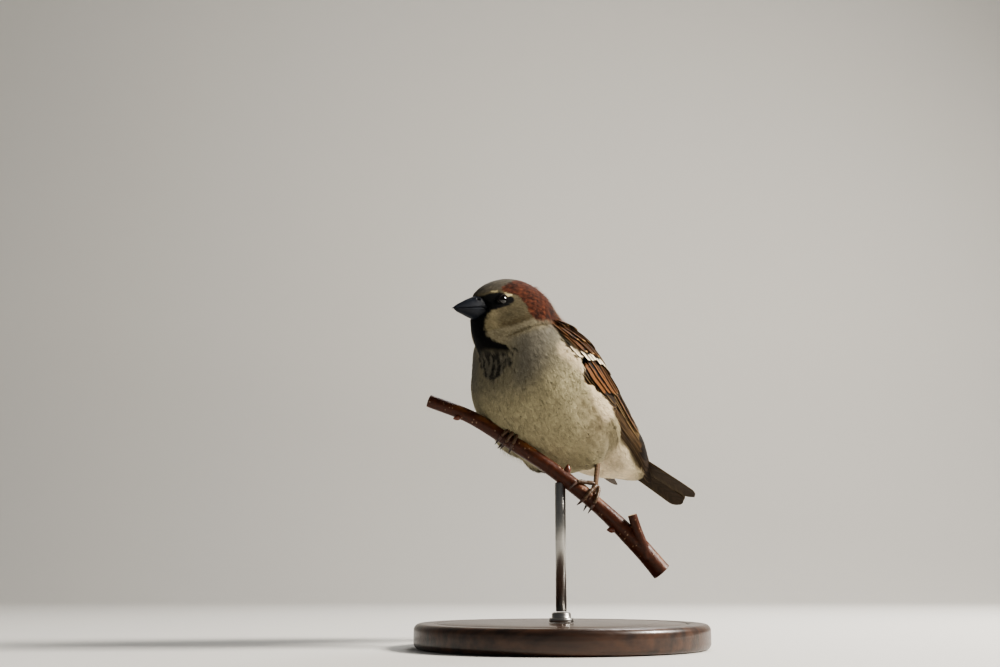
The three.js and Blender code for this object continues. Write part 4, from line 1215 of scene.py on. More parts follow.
# Where the flank's feathers lap over the wing: forward place and degrees round the hull.
WING_EDGE = np.array(
    [[-66, -24], [-50, -21], [-42, -22], [-35.5, -20.5], [-31, -16.5], [-25, -9.5], [-17, -4]]
    + [[-7, -1.5], [3, -3], [10.5, -4.5], [13.7, -1.5], [15, 4], [16.5, 9.5], [18.5, 11.5]]
    + [[22, 14.5], [26, 19.5], [30, 20]]
)

# The finish of each kind of feather: the width of its pale outer edge, inner edge and tip, in
# half widths, and the colours of its centre, edge and tip.
# The outermost primaries are darker than the rest: partly their own dark brown, partly painted shade for the
# gap under the wing.
OUTER_PRIMARY_SHADED = ((0.08, 0.03, 0.0), (BROWN_DARK, OLIVE, DUSK))
PRIMARY = ((0.12, 0.03, 0.12), (OLIVE, BROWN, DUSK))
SECONDARY = ((0.26, 0.03, 0.03), (BROWN_DARK, BUFF, BUFF))
TERTIAL = ((0.3, 0.2, 0.06), (DUSK, RUFOUS, BUFF))
SMALL_COVERT = ((0.2, 0.06, 0.04), (BROWN_DARK, BUFF, BUFF))
OUTER_COVERT = ((0.7, 0.4, 0.12), (DUSK, TAWNY, BROWN_DARK))
GREATER_COVERT = ((0.42, 0.3, 0.06), (DUSK, TAWNY, BUFF))
MEDIAN_COVERT = ((0.03, 0.03, 0.4), (DUSK, DUSK, WHITE_TIP))
LESSER_COVERT = ((0.5, 0.4, 0.12), (MAROON, RUFOUS, TAWNY))
SCAPULAR = ((0.3, 0.66, 0.06), (DUSK, TAWNY, SAND))
WING_ROWS = [
    # whether stiff and long, how many, root of first and last and tip of first and last as
    # forward place and degrees round the hull, half width, lift at root and tip, tip shape
    (True, 4, (-2, 1, -3, 6), (-71, -22, -62, -6), 3.0, (-2.0, -0.5), 0.84, OUTER_PRIMARY_SHADED),
    (True, 6, (-2, 5, -8, 16), (-58, 0, -50, 18), 3.2, (-1.2, 0.1), 0.84, PRIMARY),
    (True, 6, (0, 18, 0, 34), (-46, 16, -42, 32), 3.6, (-0.2, 0.45), 0.88, SECONDARY),
    (True, 4, (-2, 26, 0, 56), (-42, 24, -30, 52), 4.4, (0.3, 1.1), 0.8, TERTIAL),
    (False, 5, (9, -1, 7, 8), (-19, -1, -15, 9), 2.5, (-0.8, 0.1), 0.8, SMALL_COVERT),
    (False, 3, (15, -1, 14, 4), (-5, -1.5, -8, 3), 2.2, (-0.6, 0.15), 0.75, SMALL_COVERT),
    (False, 3, (13, 8, 11, 19), (-7, 7.5, -11, 18), 3.6, (0.0, 0.7), 0.72, OUTER_COVERT),
    (False, 6, (9, 24, -2, 52), (-13, 19, -22, 46), 3.8, (0.4, 1.2), 0.74, GREATER_COVERT),
    (False, 11, (24, 21, -1, 53), (14.2, 12, -11, 46), 2.9, (0.3, 1.35), 0.86, MEDIAN_COVERT),
    (False, 10, (29, 28, 6, 60), (16.6, 17.5, -10.4, 51), 2.7, (0.4, 1.5), 0.7, LESSER_COVERT),
    (False, 9, (32, 34, 12, 66), (22, 23, -1, 60), 2.7, (0.0, 1.5), 0.7, LESSER_COVERT),
    (False, 8, (25, 27, 4, 74), (14, 19.5, -18, 62), 2.9, (0.7, 1.8), 0.72, SCAPULAR),
    (False, 8, (29, 34, 12, 80), (19, 26, -8, 70), 2.9, (0.4, 2.0), 0.7, SCAPULAR),
    (False, 7, (30, 43, 18, 86), (25, 35, 4, 78), 2.9, (-0.2, 1.9), 0.7, SCAPULAR),
]
VANE_TILT = np.radians(-9)


def toward_tip(count):
    """Shares of the way along a blade, closer together toward its tip."""
    even = np.linspace(0, 1, count)
    return even + (np.sin(np.pi / 2 * even) - even) * soft(0.3, 0.9, even)


def flight_widths(gone, tip_from):
    """Half width along a feather: narrow at the root, full by a third, round from tip_from on."""
    root = 0.3 + 0.7 * soft(0.0, 0.38, gone)
    past = np.clip((gone - tip_from) / (1 - tip_from), 0, 1)
    return root * np.sqrt(1 - 0.985 * past**2)


def dressed(place, size, edges, seed):
    """The columns that a blade's material reads, for every feather of a row.

    inside is how far a point is inside the pale edges: the least of its distances from the
    outer edge, the inner edge and the tip, less the pale width there, in half widths. The next
    is the same toward the tip alone, and the third a lightness of the feather's own.
    """
    draw = np.random.default_rng(seed)
    x, t = place[..., 0], place[..., 1]
    outer, inner, tip = edges
    jitter = draw.uniform(0.6, 1.4, (len(place), 1))
    from_tip = (1 - t) * size
    inside = np.minimum(np.minimum(x + 1 - outer * jitter, 1 - x - inner * jitter), from_tip * 1.4 - 0.05)
    near_tip = tip * jitter * size - from_tip + 0.25 * x * x
    number = draw.uniform(0, 40, (len(place), 1))
    bright = draw.uniform(0.88, 1.12, (len(place), 1))
    vane = side_by_side(x, t, number)
    marks = side_by_side(inside, near_tip, bright)
    return vane.reshape(-1, 3), marks.reshape(-1, 3)


def blades(centre, normal, half, tip_from, columns, thick, camber, tilt, edges, colours, seed):
    """A row of stiff feathers along the given middle lines, with all that their material reads.

    The fray draws the corners of each tip back to round it, and leaves the barbs' ends uneven.
    """
    count, rows = centre.shape[:2]
    draw = np.random.default_rng(seed + 1)
    t = toward_tip(rows)
    fray = -(TIP_ROUNDING * half) * (t**8)[None, :, None] * (columns**2)[None, None]
    fray = fray + draw.normal(0, TIP_FRAY, (count, 1, len(columns))) * (t**10)[None, :, None]
    points, place = vanes(
        centre, normal, np.full(count, half), t, flight_widths(t, tip_from), columns,
        np.full(count, thick), camber, fray, tilt,
    )
    shaft = SHAFT_AT if columns is FLIGHT_COLUMNS else 0.0
    ridge = SHAFT_RISE * np.exp(-(((place[..., 0] - shaft) / 0.05) ** 2)) * (1 - place[..., 1]) ** 0.5
    points = points + ridge[..., None] * normal.mean(1)[:, None]
    size = np.linalg.norm(np.diff(centre, axis=1), axis=-1).sum(1)[:, None] / half
    vane, marks = dressed(place, size, edges, seed)
    under = np.zeros(points.shape[:2])
    under[:, rows * len(columns) :] = 1
    tints = [np.broadcast_to(colour, points.shape).reshape(-1, 3) for colour in colours]
    faces = repeated(vane_faces(rows, len(columns)), points.shape[1], count)
    return (points.reshape(-1, 3), [faces], vane, marks, under.ravel(), *tints)


def hull_feathers(row, seed):
    """One row of the left wing: its blades on the hull, from the lowest feather to the top.

    Along the flank the coverts sink by most of a millimetre, so that the flank laps over them.
    """
    long, count, root, tip, half, lift, tip_from, (edges, colours) = row
    draw = np.random.default_rng(seed)
    share = np.linspace(0, 1, count)[:, None]
    gone = toward_tip(26 if long else 14)[None]
    shaken = draw.normal(0, 0.35, (count, 2, 2))
    root_forward = between(root[0], root[2], share) + shaken[:, 0, :1]
    tip_forward = between(tip[0], tip[2], share) + shaken[:, 1, :1]
    tip_degrees = between(tip[1], tip[3], share) + shaken[:, 1, 1:]
    forward = between(root_forward, tip_forward, gone)
    degrees = between(between(root[1], root[3], share), tip_degrees, gone)
    level = between(lift[0], lift[1], gone) + 0.12 * (share - 0.5) * count
    if long:
        degrees = degrees + 1.2 * np.sin(np.pi * gone)
    else:
        level = level - 0.8 * soft(9, 0, degrees - wing_edge(forward))
    centre = hull_at(forward, degrees, level)
    outward = unit(hull_at(forward, degrees, 4.0) - hull_at(forward, degrees, 0.0))
    columns, thick, camber = (FLIGHT_COLUMNS, 0.3, 0.05) if long else (COVERT_COLUMNS, 0.22, 0.02)
    return blades(centre, outward, half, tip_from, columns, thick, camber, VANE_TILT, edges, colours, seed)


def mirrored(points):
    """The same points across the body's middle plane."""
    return out_of(BODY, into(BODY, points) * [1, -1, 1])


vaned, nodes = new_material("flight_feathers")
inside, near_tip, bright = nodes.split(nodes.read("marks", "Vector"))
across, _, _ = nodes.split(nodes.read("vane", "Vector"))
barbs = barbs_in(nodes, 60.0, 0.09)
wander = nodes.math("MULTIPLY", nodes.math("SUBTRACT", barbs["Clumps"], 0.5), 0.9)
dark_share = nodes.ranged(nodes.math("ADD", inside, wander), -0.08, 0.16)
tip_share = nodes.ranged(nodes.math("ADD", near_tip, wander), -0.1, 0.12)
rim_share = nodes.ranged(across, -0.86, -0.95, 0.0, 0.22)
rimmed = nodes.mixed(rim_share, nodes.read("edge", "Color"), SAND)
centred = nodes.mixed(dark_share, rimmed, nodes.read("centre", "Color"))
patterned = nodes.mixed(tip_share, centred, nodes.read("tip", "Color"))
under_share = nodes.math("MULTIPLY", nodes.read("under"), 0.7)
turned_under = nodes.mixed(under_share, patterned, GREY_UNDER)
light = nodes.math("MULTIPLY", nodes.ranged(barbs["Lines"], 0.3, 0.7, 0.62, 1.18), bright)
nodes.end({
    "Base Color": nodes.add("VectorMath", {0: turned_under, 1: light}, operation="MULTIPLY").outputs[0],
    "Normal": nodes.bump(barbs["Lines"], 0.0001, 0.6),
    "Roughness": 0.6,
    "Specular IOR Level": 0.1,
    "Sheen Weight": 0.04,
    "Sheen Roughness": 0.5,
})


def feather_piece(name, node, columns, mirror=False):
    """Puts joined blades into one piece with everything that their material reads."""
    points, faces, vane, marks, under, centre, edge, tip = columns
    points = mirrored(points) if mirror else points
    colours = {"centre": centre, "edge": edge, "tip": tip}
    piece = put_mesh(name, points, faces, colours, {"vane": vane, "marks": marks, "under": under})
    fit_piece(piece, vaned, "flight_feathers", node)


wing = joined([hull_feathers(row, 100 + number) for number, row in enumerate(WING_ROWS)])
feather_piece("wing_left_feathers", "wing_left", wing)
feather_piece("wing_right_feathers", "wing_right", wing, mirror=True)


# ------------------------------------------------------------------ tail
# Twelve stiff feathers in a nearly closed fan, the middle pair on top and each next pair a
# little lower and further out, with small coverts over their roots above and below.

TAIL_PAIRS = 6
TAIL_REACH = (51.5, 53.0)  # length of the middle and of the outer pair
TAIL_HALF = 3.8
TAIL_LIFT, TAIL_STEP, TAIL_SLOPE = 1.2, 0.62, 0.1
TAIL_ROOT, TAIL_TIP = (0.3, 0.3), (1.3, 0.62)  # sideways place of the middle pair, and the step


def tail_feathers():
    """The twelve blades in the tail's frame, each bent a little down toward its tip."""
    pair = np.repeat(np.arange(TAIL_PAIRS), 2)[:, None]
    side = np.tile([1.0, -1.0], TAIL_PAIRS)[:, None]
    gone = toward_tip(30)[None]
    reach = between(TAIL_REACH[0], TAIL_REACH[1], np.sin(np.pi * pair / 10))
    lateral = side * between(TAIL_ROOT[0] + TAIL_ROOT[1] * pair, TAIL_TIP[0] + TAIL_TIP[1] * pair, gone**1.2)
    high = TAIL_LIFT - TAIL_STEP * pair - TAIL_SLOPE * side * gone - 0.9 * gone**2 + 0.9 * gone
    local = side_by_side(between(4, -reach, gone), lateral, high)
    centre = out_of(TAIL, local)
    tilt = side_by_side(0 * gone, 0.13 * side, 1.0)
    normal = np.broadcast_to(unit(tilt @ TAIL[1]), centre.shape)
    colours = (BROWN, BUFF, BROWN_DARK)
    return blades(
        centre, normal, TAIL_HALF, 0.92, FLIGHT_COLUMNS, 0.3, 0.06, 0.0, (0.06, 0.28, 0.0), colours, 77
    )


feather_piece("tail_feathers", "tail", joined([tail_feathers()]))


# ------------------------------------------------------------------ body feathers
# Small contour feathers tile the skin, each a thin closed vane that is rooted in it and lies
# toward the tail, with its tip over the next ones. They are tiny on the face, long on the belly.

LENGTHS, WIDTHS = 3.4, 0.95  # of a feather and of half its vane, in spacings
VANE_ROWS = np.array([0, 0.25, 0.5, 0.74, 0.94, 1])  # share of the way to the tip
VANE_COLUMNS = np.array([-1, -0.9, 0, 0.9, 1])
FEATHER_SHARE = 2000  # feathers in a piece
LINE_STEPS, LINE_FINE = 8, 29  # points along a feather's middle line, as laid and as refined
OVERHANG = 1.4  # how far that line runs on past the tip, for the barbs that are loose there
THROWN, THINNED = 7, 0.82  # roots thrown for each one's room, and least gap in spacings
EDGE_ROOTS, EDGE_BELOW = 75, 4.5  # roots along a wing's edge, and degrees below it
STEEP = 0.82  # share of a feather's rise that comes near its root
LEAN = 0.1  # how far a vane's shading turns from the coat's smooth form toward its own edges


def spacing(points):
    """Distance between neighbouring roots: 0.7 mm on the face, about twice that on the body."""
    head, body = into(HEAD, points), into(BODY, points)
    f, u, down_body = head[..., 0], head[..., 2], body[..., 0]
    face = 0.68 + 0.35 * soft(14, -4, f) + 0.3 * soft(-8, -16, u)
    trunk = 1.25 + 0.4 * soft(24, 0, down_body)
    return face + (trunk - face) * soft(38, 24, down_body + 0.2 * body[..., 2])


def hull_degrees(body):
    """How many degrees round the wing's hull a point in the body's frame lies."""
    width, height, middle = (np.interp(-body[..., 0], -HULL[:, 0], HULL[:, k]) for k in (1, 2, 3))
    return np.degrees(np.arctan2((body[..., 2] - middle) / height, np.abs(body[..., 1]) / width))


# Where the coat is fluffed: middle in a part's frame, reach and height.
HANGING = [-4, -15, -20]  # belly's right side, which hangs beside the branch
FLUFFS = [
    (HEAD, [13, -4, -15], 10, 2.0),  # beard
    (BODY, [32, -15, 0], 11, 1.2),  # breast's right side
    (BODY, HANGING, 10, 2.0),
    (BODY, [29.5, 18, 19], 9, -1.6),  # neck, drawn in before the mantle
    (BODY, [-24.2, 16.5, -13.5], 11, 4.5),  # thighs
    (BODY, [-24.2, -16.5, -13.5], 11, 4.5),
]


def creases(points):
    """How far the coat is sunk in the collar's fold, or raised over the wing's edge.

    Toward that edge the flank feathers rise to the hull that the wing lies on, and a little more.
    """
    head, body = into(HEAD, points), into(BODY, points)
    fold = np.interp(head[..., 0], *COLLAR_FOLD.T)
    on_head = soft(30, 35, body[..., 0] + 0.15 * body[..., 2]) * soft(11, 8, head[..., 0])
    level = -0.5 * soft(1.3, 0.0, np.abs(head[..., 2] - fold)) * on_head
    degrees = hull_degrees(body)
    above_edge = degrees - wing_edge(body[..., 0])
    beside = soft(-45, -4, above_edge) ** 2 * soft(12, 5, above_edge)
    beside = beside * soft(-38, -24, body[..., 0]) * soft(27, 18, body[..., 0])
    hull_level = body_distance(hull_at(np.clip(body[..., 0], -80, 30), degrees, 0.0))
    return level + beside * np.clip(hull_level + 0.7, 0.3, 2.4)


def relief(points):
    """How far the coat stands off the form, with the fluffed places."""
    level = creases(points)
    for part, middle, reach, height in FLUFFS:
        level = level + height * soft(reach, 0, np.linalg.norm(into(part, points) - middle, axis=-1))
    return level


def coat_distance(points):
    """Distance from the coat's outer face as light shows it: the soft fluffed places don't."""
    return body_distance(points) - 0.5 * creases(points)


def beside_wing(points):
    """1 for the feathers just below the wing's edge, falling to 0 further down the flank."""
    body = into(BODY, points)
    above_edge = hull_degrees(body) - wing_edge(body[..., 0])
    return soft(-30, -8, above_edge) * soft(-62, -50, body[..., 0]) * soft(22, 12, body[..., 0])


def bare(points):
    """True where no feather roots: in the bill, round the eyes, and under the folded wings.

    For the bill the test is made where the coat's outer face is, over the root.
    """
    over_root = points + slope_of(points) * coat_depth(points)[..., None]
    head, body = into(HEAD, over_root), into(BODY, points)
    culmen, chin, half = (np.interp(head[..., 0], BILL[:, 0], BILL[:, k]) for k in (1, 3, 4))
    middle, high = (culmen + chin) / 2, (culmen - chin) / 2
    in_bill = np.hypot(head[..., 1] / half, (head[..., 2] - middle) / high) < 0.96
    in_bill &= head[..., 0] > 12.5
    sided = np.stack([head[..., 0], np.abs(head[..., 1]), head[..., 2]], -1)
    in_eye = np.linalg.norm(sided - EYE_AT, axis=-1) < EYE_RADIUS + 0.12
    degrees = hull_degrees(body)
    forward = body[..., 0]
    under_wing = (degrees > wing_edge(forward) - 3) & (forward < 19) & (forward > -60)
    under_wing &= degrees < np.where(forward > -32, 60, 24)
    return in_bill | in_eye | under_wing


def finder(points):
    """A search tree over points."""
    tree = kdtree.KDTree(len(points))
    for number, point in enumerate(points):
        tree.insert(point, number)
    tree.balance()
    return tree


def scatter(seed):
    """Row and column places of the roots: thrown at random, thinned to the spacing there."""
    draw = np.random.default_rng(seed)
    wide = np.roll(skin_grid, -1, 1) - skin_grid
    area = np.linalg.norm(np.cross(np.gradient(skin_grid, axis=0), wide), axis=-1)
    crowd = (area / spacing(skin_grid) ** 2).ravel()
    chosen = draw.choice(len(crowd), int(crowd.sum() * THROWN), p=crowd / crowd.sum())
    row = np.clip(chosen // SKIN_COLUMNS + draw.uniform(-0.5, 0.5, len(chosen)), 0.6, SKIN_ROWS - 1.6)
    column = chosen % SKIN_COLUMNS + draw.uniform(-0.5, 0.5, len(chosen))
    points = grid_at(skin_grid, row, column)
    gap = spacing(points)
    near = finder(points)
    free = ~bare(points)
    kept = []
    for number in range(len(points)):
        if free[number]:
            kept.append(number)
            for _, other, _ in near.find_range(points[number], gap[number] * THINNED):
                free[other] = False
    edge_row, edge_column = edge_roots()
    return np.concatenate([row[kept], edge_row]), np.concatenate([column[kept], edge_column])


def edge_roots():
    """Grid places of a close line of roots just below each wing's edge, for a clean border."""
    forward = np.linspace(18, -44, EDGE_ROOTS)
    edge = hull_at(forward, wing_edge(forward) - EDGE_BELOW, 0.0)
    near = finder(skin_grid.reshape(-1, 3))
    found = [near.find(point)[1] for point in np.concatenate([edge, mirrored(edge)])]
    return np.divmod(np.array(found, float), SKIN_COLUMNS)


def grid_at(grid, row, column):
    """The grid's value between its points, wrapping round the columns."""
    row0, column0 = np.floor(row).astype(int), np.floor(column).astype(int)
    down_, right = (row - row0)[:, None], (column - column0)[:, None]
    row1 = np.minimum(row0 + 1, grid.shape[0] - 1)
    here, beside = column0 % grid.shape[1], (column0 + 1) % grid.shape[1]
    upper = grid[row0, here] * (1 - right) + grid[row0, beside] * right
    lower = grid[row1, here] * (1 - right) + grid[row1, beside] * right
    return upper * (1 - down_) + lower * down_


def laid(points, way, length, start_level, end_level):
    """Centre lines that start at points and follow the form's surface in the given direction.

    At each step the point moves on and is pulled to its level. That rises steeply from the
    start, runs nearly along the form before the tip, and stays there past it. Gives points and
    normals.
    """
    spots, normals = [], []
    normal = slope_of(points)
    spot = points
    for k in range(LINE_STEPS):
        left = max(1 - OVERHANG * k / (LINE_STEPS - 1), 0.0)
        rise = 1 - STEEP * left**3 - (1 - STEEP) * left
        if k:
            spot = spot + way * (OVERHANG * length / (LINE_STEPS - 1))[:, None]
        level = start_level + (end_level + relief(spot) - start_level) * rise
        for _ in range(2):
            spot = spot + normal * (level - body_distance(spot))[:, None]
            normal = slope_of(spot)
        way = unit(way - normal * (way * normal).sum(-1, keepdims=True))
        spots.append(spot)
        normals.append(normal)
    return np.stack(spots, 1), np.stack(normals, 1)


def vane_width(gone):
    """Half width along a feather, as a share of its fullest: a narrow root and a round tip."""
    root = 0.25 + 0.75 * np.sin(np.pi / 2 * np.minimum(gone / 0.6, 1))
    return root * np.sqrt(1 - 0.85 * np.clip((gone - 0.6) / 0.4, 0, 1) ** 2)


def painted(points, number, across, along):
    """Plumage colours at points on feathers of this number, at this place across and along.

    A mantle feather has a black streak on one side of its shaft. In the lower bib about half of
    the feathers are black with ash grey tips, in clumps.
    """
    tint, broken_bib, mantled = plumage(points)
    inner_half = soft(0.25, -0.1, across * np.where(number > 0.5, 1, -1))
    streak = mantled * inner_half * soft(1.02, 0.9, along) * soft(0.25, 0.4, (number * 7.3) % 1)
    tint = over(tint, INK * 1.6, 0.9 * streak)
    chosen = soft(-0.3, 0.4, streaks(into(BODY, points), 3.6, 4.4, 46) + 0.9 * (number - 0.5))
    blot = chosen * soft(1.08, 0.94, along) * soft(1.2, 0.8, np.abs(across))
    return over(tint, INK, 0.95 * broken_bib * blot)


root_row, root_column = scatter(21)
root_count = len(root_row)
root_spot = grid_at(skin_grid, root_row, root_column)
after = grid_at(skin_grid, np.minimum(root_row + 3, SKIN_ROWS - 1), root_column)
before = grid_at(skin_grid, np.maximum(root_row - 3, 0), root_column)
draw = np.random.default_rng(5)
root_gap = spacing(root_spot)
root_way = unit(after - before)
root_normal = slope_of(root_spot)
root_way += np.cross(root_normal, root_way) * draw.normal(0, 0.12, root_count)[:, None]
edge_way = into(BODY, root_spot)[:, 0]
side_of_body = np.sign(into(BODY, root_spot)[:, 1])
to_side = np.stack([np.ones(root_count), side_of_body, np.ones(root_count)], -1)
edge_ends = [
    out_of(BODY, to_side * into(BODY, hull_at(place, wing_edge(place), 0.0)))
    for place in (edge_way + 2.0, edge_way - 2.0)
]
root_way += (unit(edge_ends[1] - edge_ends[0]) - root_way) * (0.95 * beside_wing(root_spot))[:, None]
root_way = unit(root_way - root_normal * (root_way * root_normal).sum(-1, keepdims=True))
root_length = root_gap * LENGTHS * draw.uniform(0.85, 1.15, root_count)
tip_level = 0.03 + 0.03 * root_gap * draw.uniform(-0.5, 1.0, root_count)
line, line_normal = laid(root_spot, root_way, root_length, -coat_depth(root_spot) - 0.1, tip_level)
fine_centre = refined(line, LINE_FINE)
fine_normal = unit(refined(line_normal, LINE_FINE))
fine_side = unit(np.cross(fine_normal, np.gradient(fine_centre, axis=1)))
fine_shading = slope_of(fine_centre, coat_distance, 0.5)


def on_feather(owner, gone):
    """Middle point, normal, side and coat's normal of feathers, at a share of the way to the tip."""
    place = np.clip(gone, 0, OVERHANG - 0.001) / OVERHANG * (LINE_FINE - 1)
    low = place.astype(int)
    w = (place - low)[..., None]
    lines = (fine_centre, fine_normal, fine_side, fine_shading)
    return [grid[owner, low] * (1 - w) + grid[owner, low + 1] * w for grid in lines]


feather_centre, feather_normal, feather_side, feather_shading = on_feather(
    np.arange(root_count)[:, None], np.broadcast_to(VANE_ROWS, (root_count, len(VANE_ROWS)))
)
ragged = draw.normal(0, 1, (root_count, 1, len(VANE_COLUMNS))) * (VANE_ROWS**8)[None, :, None]
rounded = (VANE_ROWS**6)[None, :, None] * (VANE_COLUMNS**2)[None, None]
feather_fray = (0.05 * ragged - 0.13 * rounded) * root_length[:, None, None]
feather_half = root_gap * WIDTHS * draw.uniform(0.85, 1.15, root_count)
feather_points, feather_place = vanes(
    feather_centre, feather_normal, feather_half, VANE_ROWS, vane_width(VANE_ROWS), VANE_COLUMNS,
    0.03 * root_gap, 0.05, feather_fray,
)
shading_turn = LEAN * VANE_COLUMNS + draw.normal(0, 0.04, (root_count, 1))
shading = unit(feather_shading[:, :, None] + feather_side[:, :, None] * shading_turn[:, None, :, None])
feather_shade = np.concatenate(
    [shading.reshape(root_count, -1, 3), -shading[:, 1:-1, 1:-1].reshape(root_count, -1, 3)], 1
)
number = draw.uniform(0, 1, (root_count, 1))
lightness = 1 + 0.05 * draw.normal(size=(root_count, 1))
strand_light = 1 + 0.05 * draw.normal(size=(root_count, len(VANE_COLUMNS)))
across, along = feather_place[..., 0], feather_place[..., 1]
toward_middle = 0.25 * (feather_centre[:, -2:-1] - feather_points)
feather_tint = painted(feather_points + toward_middle, number, across, along)
strand = np.round((across[0] + 1) * 2).astype(int)
feather_tint = feather_tint * (lightness * strand_light[:, strand] * (0.92 + 0.08 * along))[..., None]
feather_vane = side_by_side(across, along, number * 40)
feather_bake = np.stack([(root_column / SKIN_COLUMNS) % 1, root_row / (SKIN_ROWS - 1)], -1)[:, None]
feather_bake = feather_bake + 0.0015 * np.stack([across, 2 * along - 1], -1)

feathering, nodes = new_material("body_feathers")
barbs = barbs_in(nodes, 26.0, 0.16)
lines = nodes.math("MULTIPLY", nodes.ranged(barbs["Lines"], 0.3, 0.7), 0.25)
nodes.end({
    "Base Color": nodes.mixed(lines, nodes.read("tint", "Color"), np.zeros(3)),
    "Normal": nodes.bump(barbs["Lines"], 0.00006, 0.6),
    "Roughness": 0.85,
    "Specular IOR Level": 0.12,
    "Sheen Weight": 0.08,
    "Sheen Roughness": 0.5,
})


def coat_pieces(name, share, one, points, tint, vane, bake, shade_way, shadows):
    """Puts feathers or hairs into pieces of a share each, with the faces of one given.

    The feathers lie so close that their borders would shade each other, so only hairs cast
    shadows.
    """
    for start in range(0, len(points), share):
        columns = [column[start : start + share] for column in (points, tint, vane, bake, shade_way)]
        spots, tints, vanes_, bakes, ways = (part.reshape(-1, part.shape[-1]) for part in columns)
        faces = repeated(one, points.shape[1], len(columns[0]))
        piece = put_mesh(
            f"{name}_{start // share + 1}", spots, [faces], {"tint": tints}, {"vane": vanes_},
            {"OFBake": bakes}, ways,
        )
        fit_piece(piece, feathering, "plumage")
        piece.visible_shadow = shadows


coat_pieces(
    "body_feathers", FEATHER_SHARE, vane_faces(len(VANE_ROWS), len(VANE_COLUMNS)), feather_points,
    feather_tint, feather_vane, feather_bake, feather_shade, shadows=False,
)


# ------------------------------------------------------------------ loose barbs
# The soft free barbs that hide the feathers' borders: hair-fine, in the feathers' own colour,
# running on along each feather past its tip, with a few that stand off where it is fluffed.

HAIRS_EACH, BUNDLES = 14, 7  # barbs on a feather, and the bundles that they share a tone in
HAIR_WIDTH = 0.075  # in spacings
HAIR_SHARE = 19000  # barbs in a piece
FAN = np.array([1.0, 1.12, 1.3])  # how barbs spread sideways along their three spots
FLUFFED = 0.04  # the share of barbs that stand off anywhere
RINGS = [0, 0, 0, 1, 1, 1, 2]  # which of a strand's three spots each of its points belongs to


def strands(spots, sides, normals, width):
    """Closed tapered strands through three spots: two flat three-cornered rings and a point."""
    corners = [(-0.5, -0.06), (0.5, -0.06), (0.0, 0.12)]
    rings = [
        spots[:, k] + sides[:, k] * (width * size * a)[:, None] + normals[:, k] * (width * size * b)[:, None]
        for k, size in ((0, 0.7), (1, 1.0))
        for a, b in corners
    ]
    one = [[0, 2, 1]]
    for k in range(3):
        beside = (k + 1) % 3
        one += [[k, beside, beside + 3], [k, beside + 3, k + 3], [3 + k, 3 + beside, 6]]
    return np.stack(rings + [spots[:, 2]], 1), np.array(one)


draw = np.random.default_rng(31)
owner = np.repeat(np.arange(root_count), HAIRS_EACH)
hair_count = len(owner)
hair_gone = draw.uniform(0.2, 0.88, hair_count)[:, None]
hair_gone = hair_gone + draw.uniform(0.42, 0.62, hair_count)[:, None] * np.array([0, 0.5, 1])
hair_place = draw.uniform(-1, 1, hair_count)
hair_spot, hair_normal, hair_side, hair_shading = on_feather(owner[:, None], hair_gone)
reach = vane_width(np.minimum(hair_gone[:, :1], 0.9)) * feather_half[owner][:, None]
drift = hair_place[:, None] * FAN * reach
drift += (0.1 * root_gap[owner] * draw.normal(size=hair_count))[:, None] * np.array([0, 0.3, 1])
fluff = root_gap[owner] * (0.01 + 0.03 * np.abs(draw.normal(size=hair_count)))
head_spot, body_spot = into(HEAD, root_spot)[owner], into(BODY, root_spot)[owner]
nape = soft(-3, -9, head_spot[:, 0]) * soft(-14, -9, head_spot[:, 2])
hanging = soft(10, 3, np.linalg.norm(body_spot - HANGING, axis=-1))
fluffed = draw.uniform(size=hair_count) < FLUFFED + 0.4 * nape + 0.2 * hanging
stray = root_gap[owner] * (0.3 + 0.9 * nape + 1.2 * hanging) * draw.uniform(0.3, 1.2, hair_count)
fluff = np.where(fluffed, stray, fluff)
height = fluff[:, None] * np.array([0, 0.35, 1]) + np.array([0.0, 0.04, 0.02])
hair_spot = hair_spot + hair_side * drift[..., None] + hair_normal * height[..., None]
hair_points, one_strand = strands(hair_spot, hair_side, hair_normal, HAIR_WIDTH * root_gap[owner])
hair_tint = painted(hair_spot, number[owner], hair_place[:, None], np.minimum(hair_gone, 1))
tousled = 1 + 1.3 * soft(-22, -12, head_spot[:, 0])  # on the head the barbs show as small tufts
in_bundle = ((BUNDLES / 2 - 0.01) * (hair_place + 1)).astype(int)
bundle = draw.normal(0, 0.08, (root_count, BUNDLES))[owner, in_bundle] * tousled
hair_light = lightness[owner, 0] * (1 + bundle) * draw.uniform(0.9, 1.1, hair_count)
hair_tint = (hair_tint * hair_light[:, None, None])[:, RINGS]
hair_turn = (0.09 * tousled * draw.normal(size=hair_count))[:, None, None]
hair_shade = unit(hair_shading + hair_side * hair_turn)[:, RINGS]
hair_bake = np.broadcast_to(feather_bake[owner, :1], (hair_count, 7, 2))
hair_vane = side_by_side(0.0, 0.5 * hair_gone[:, RINGS], owner[:, None] * 0.37)

coat_pieces(
    "loose_barbs", HAIR_SHARE, one_strand, hair_points, hair_tint, hair_vane, hair_bake, hair_shade,
    shadows=True,
)


# ------------------------------------------------------------------ studio
# A pale matt floor runs up into a plain backdrop. The light is a strong soft box high on the
# right, a wide weak one on the left, a small one behind, and a dim, even, pale surround.

CAMERA_AT = (-0.0250, -0.5217, 0.0286)
CAMERA_RISE = 11.0
LENS, SENSOR = 45.0, 36.0


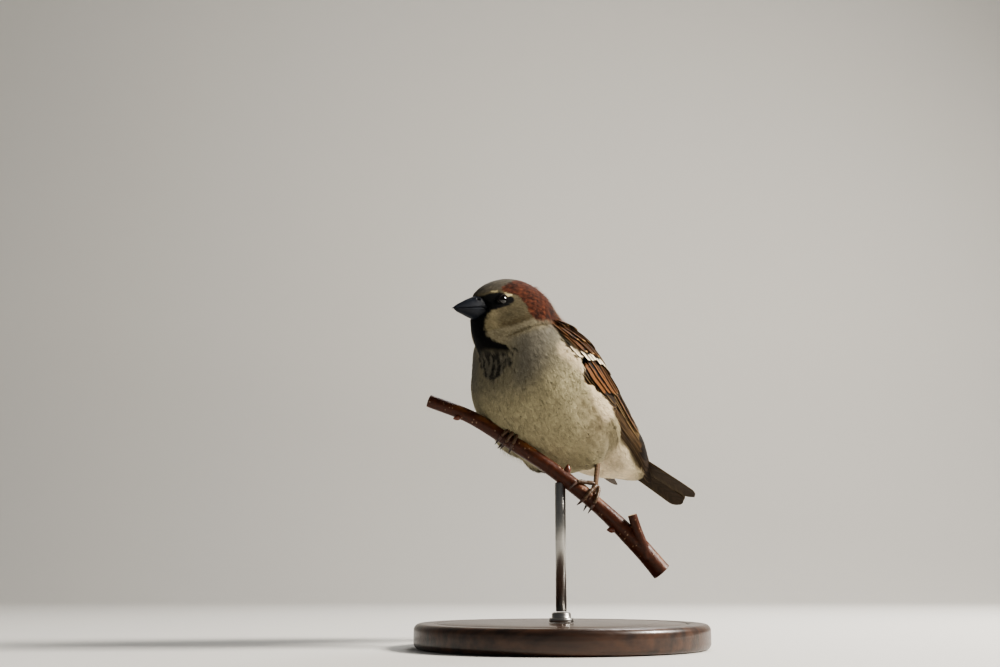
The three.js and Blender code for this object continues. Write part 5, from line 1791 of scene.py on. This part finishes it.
def paper_sheet(reach, back, bend, rise):
    """A sheet: flat to y = back, a quarter circle of the bend's radius, then straight up."""
    turn_up = np.linspace(0, np.pi / 2, 13)
    y = np.concatenate([[-reach], back + bend * np.sin(turn_up), [back + bend]])
    z = np.concatenate([[0.0], bend * (1 - np.cos(turn_up)), [rise]])
    x = np.linspace(-reach, reach, 9)
    return side_by_side(x, y[:, None], z[:, None]).reshape(-1, 3), [grid_faces(len(y), len(x))]


paper, nodes = new_material("backdrop_paper")
cloud = nodes.noise(nodes.spot(), 1.3)
tone = nodes.mixed(cloud, shade(212, 210, 205), shade(222, 220, 215))
nodes.end({"Base Color": tone, "Roughness": 0.9})
backdrop = put_mesh("backdrop", *paper_sheet(2500.0, 900.0, 400.0, 2600.0))
backdrop.data.materials.append(paper)


def soft_box(name, place, aim, size, power, colour):
    """A square area light at a place, turned to face the aim."""
    light = bpy.data.lights.new(name, "AREA")
    light.shape = "SQUARE"
    light.size = size
    light.energy = power
    light.color = colour
    lamp = bpy.data.objects.new(name, light)
    bpy.context.scene.collection.objects.link(lamp)
    lamp.location = place
    lamp.rotation_euler = (Vector(aim) - Vector(place)).to_track_quat("-Z", "Y").to_euler()
    return lamp


aim = (0.0, 0.015, 0.11)
soft_box("key_light", (0.97, -0.09, 0.75), aim, 0.3, 34.0, (1.0, 0.95, 0.88))
fill = soft_box("fill_light", (-1.0, -0.9, 0.35), aim, 1.2, 1.6, (0.96, 0.98, 1.0))
fill.visible_glossy = False
soft_box("rim_light", (0.2, 0.5, 0.7), aim, 0.35, 3.0, (1.0, 1.0, 1.0))

surround = bpy.data.worlds.new("surround")
bpy.context.scene.world = surround
surround.use_nodes = True
surround.node_tree.nodes["Background"].inputs[0].default_value = (0.92, 0.94, 0.96, 1)
surround.node_tree.nodes["Background"].inputs[1].default_value = 0.12

bpy.context.scene.view_settings.look = "AgX - Medium High Contrast"

lens = bpy.data.cameras.new("camera")
lens.lens = LENS
lens.sensor_width = SENSOR
lens.clip_start = 0.01
camera = bpy.data.objects.new("camera", lens)
bpy.context.scene.collection.objects.link(camera)
camera.location = CAMERA_AT
camera.rotation_euler = (np.radians(90 + CAMERA_RISE), 0, 0)
bpy.context.scene.camera = camera
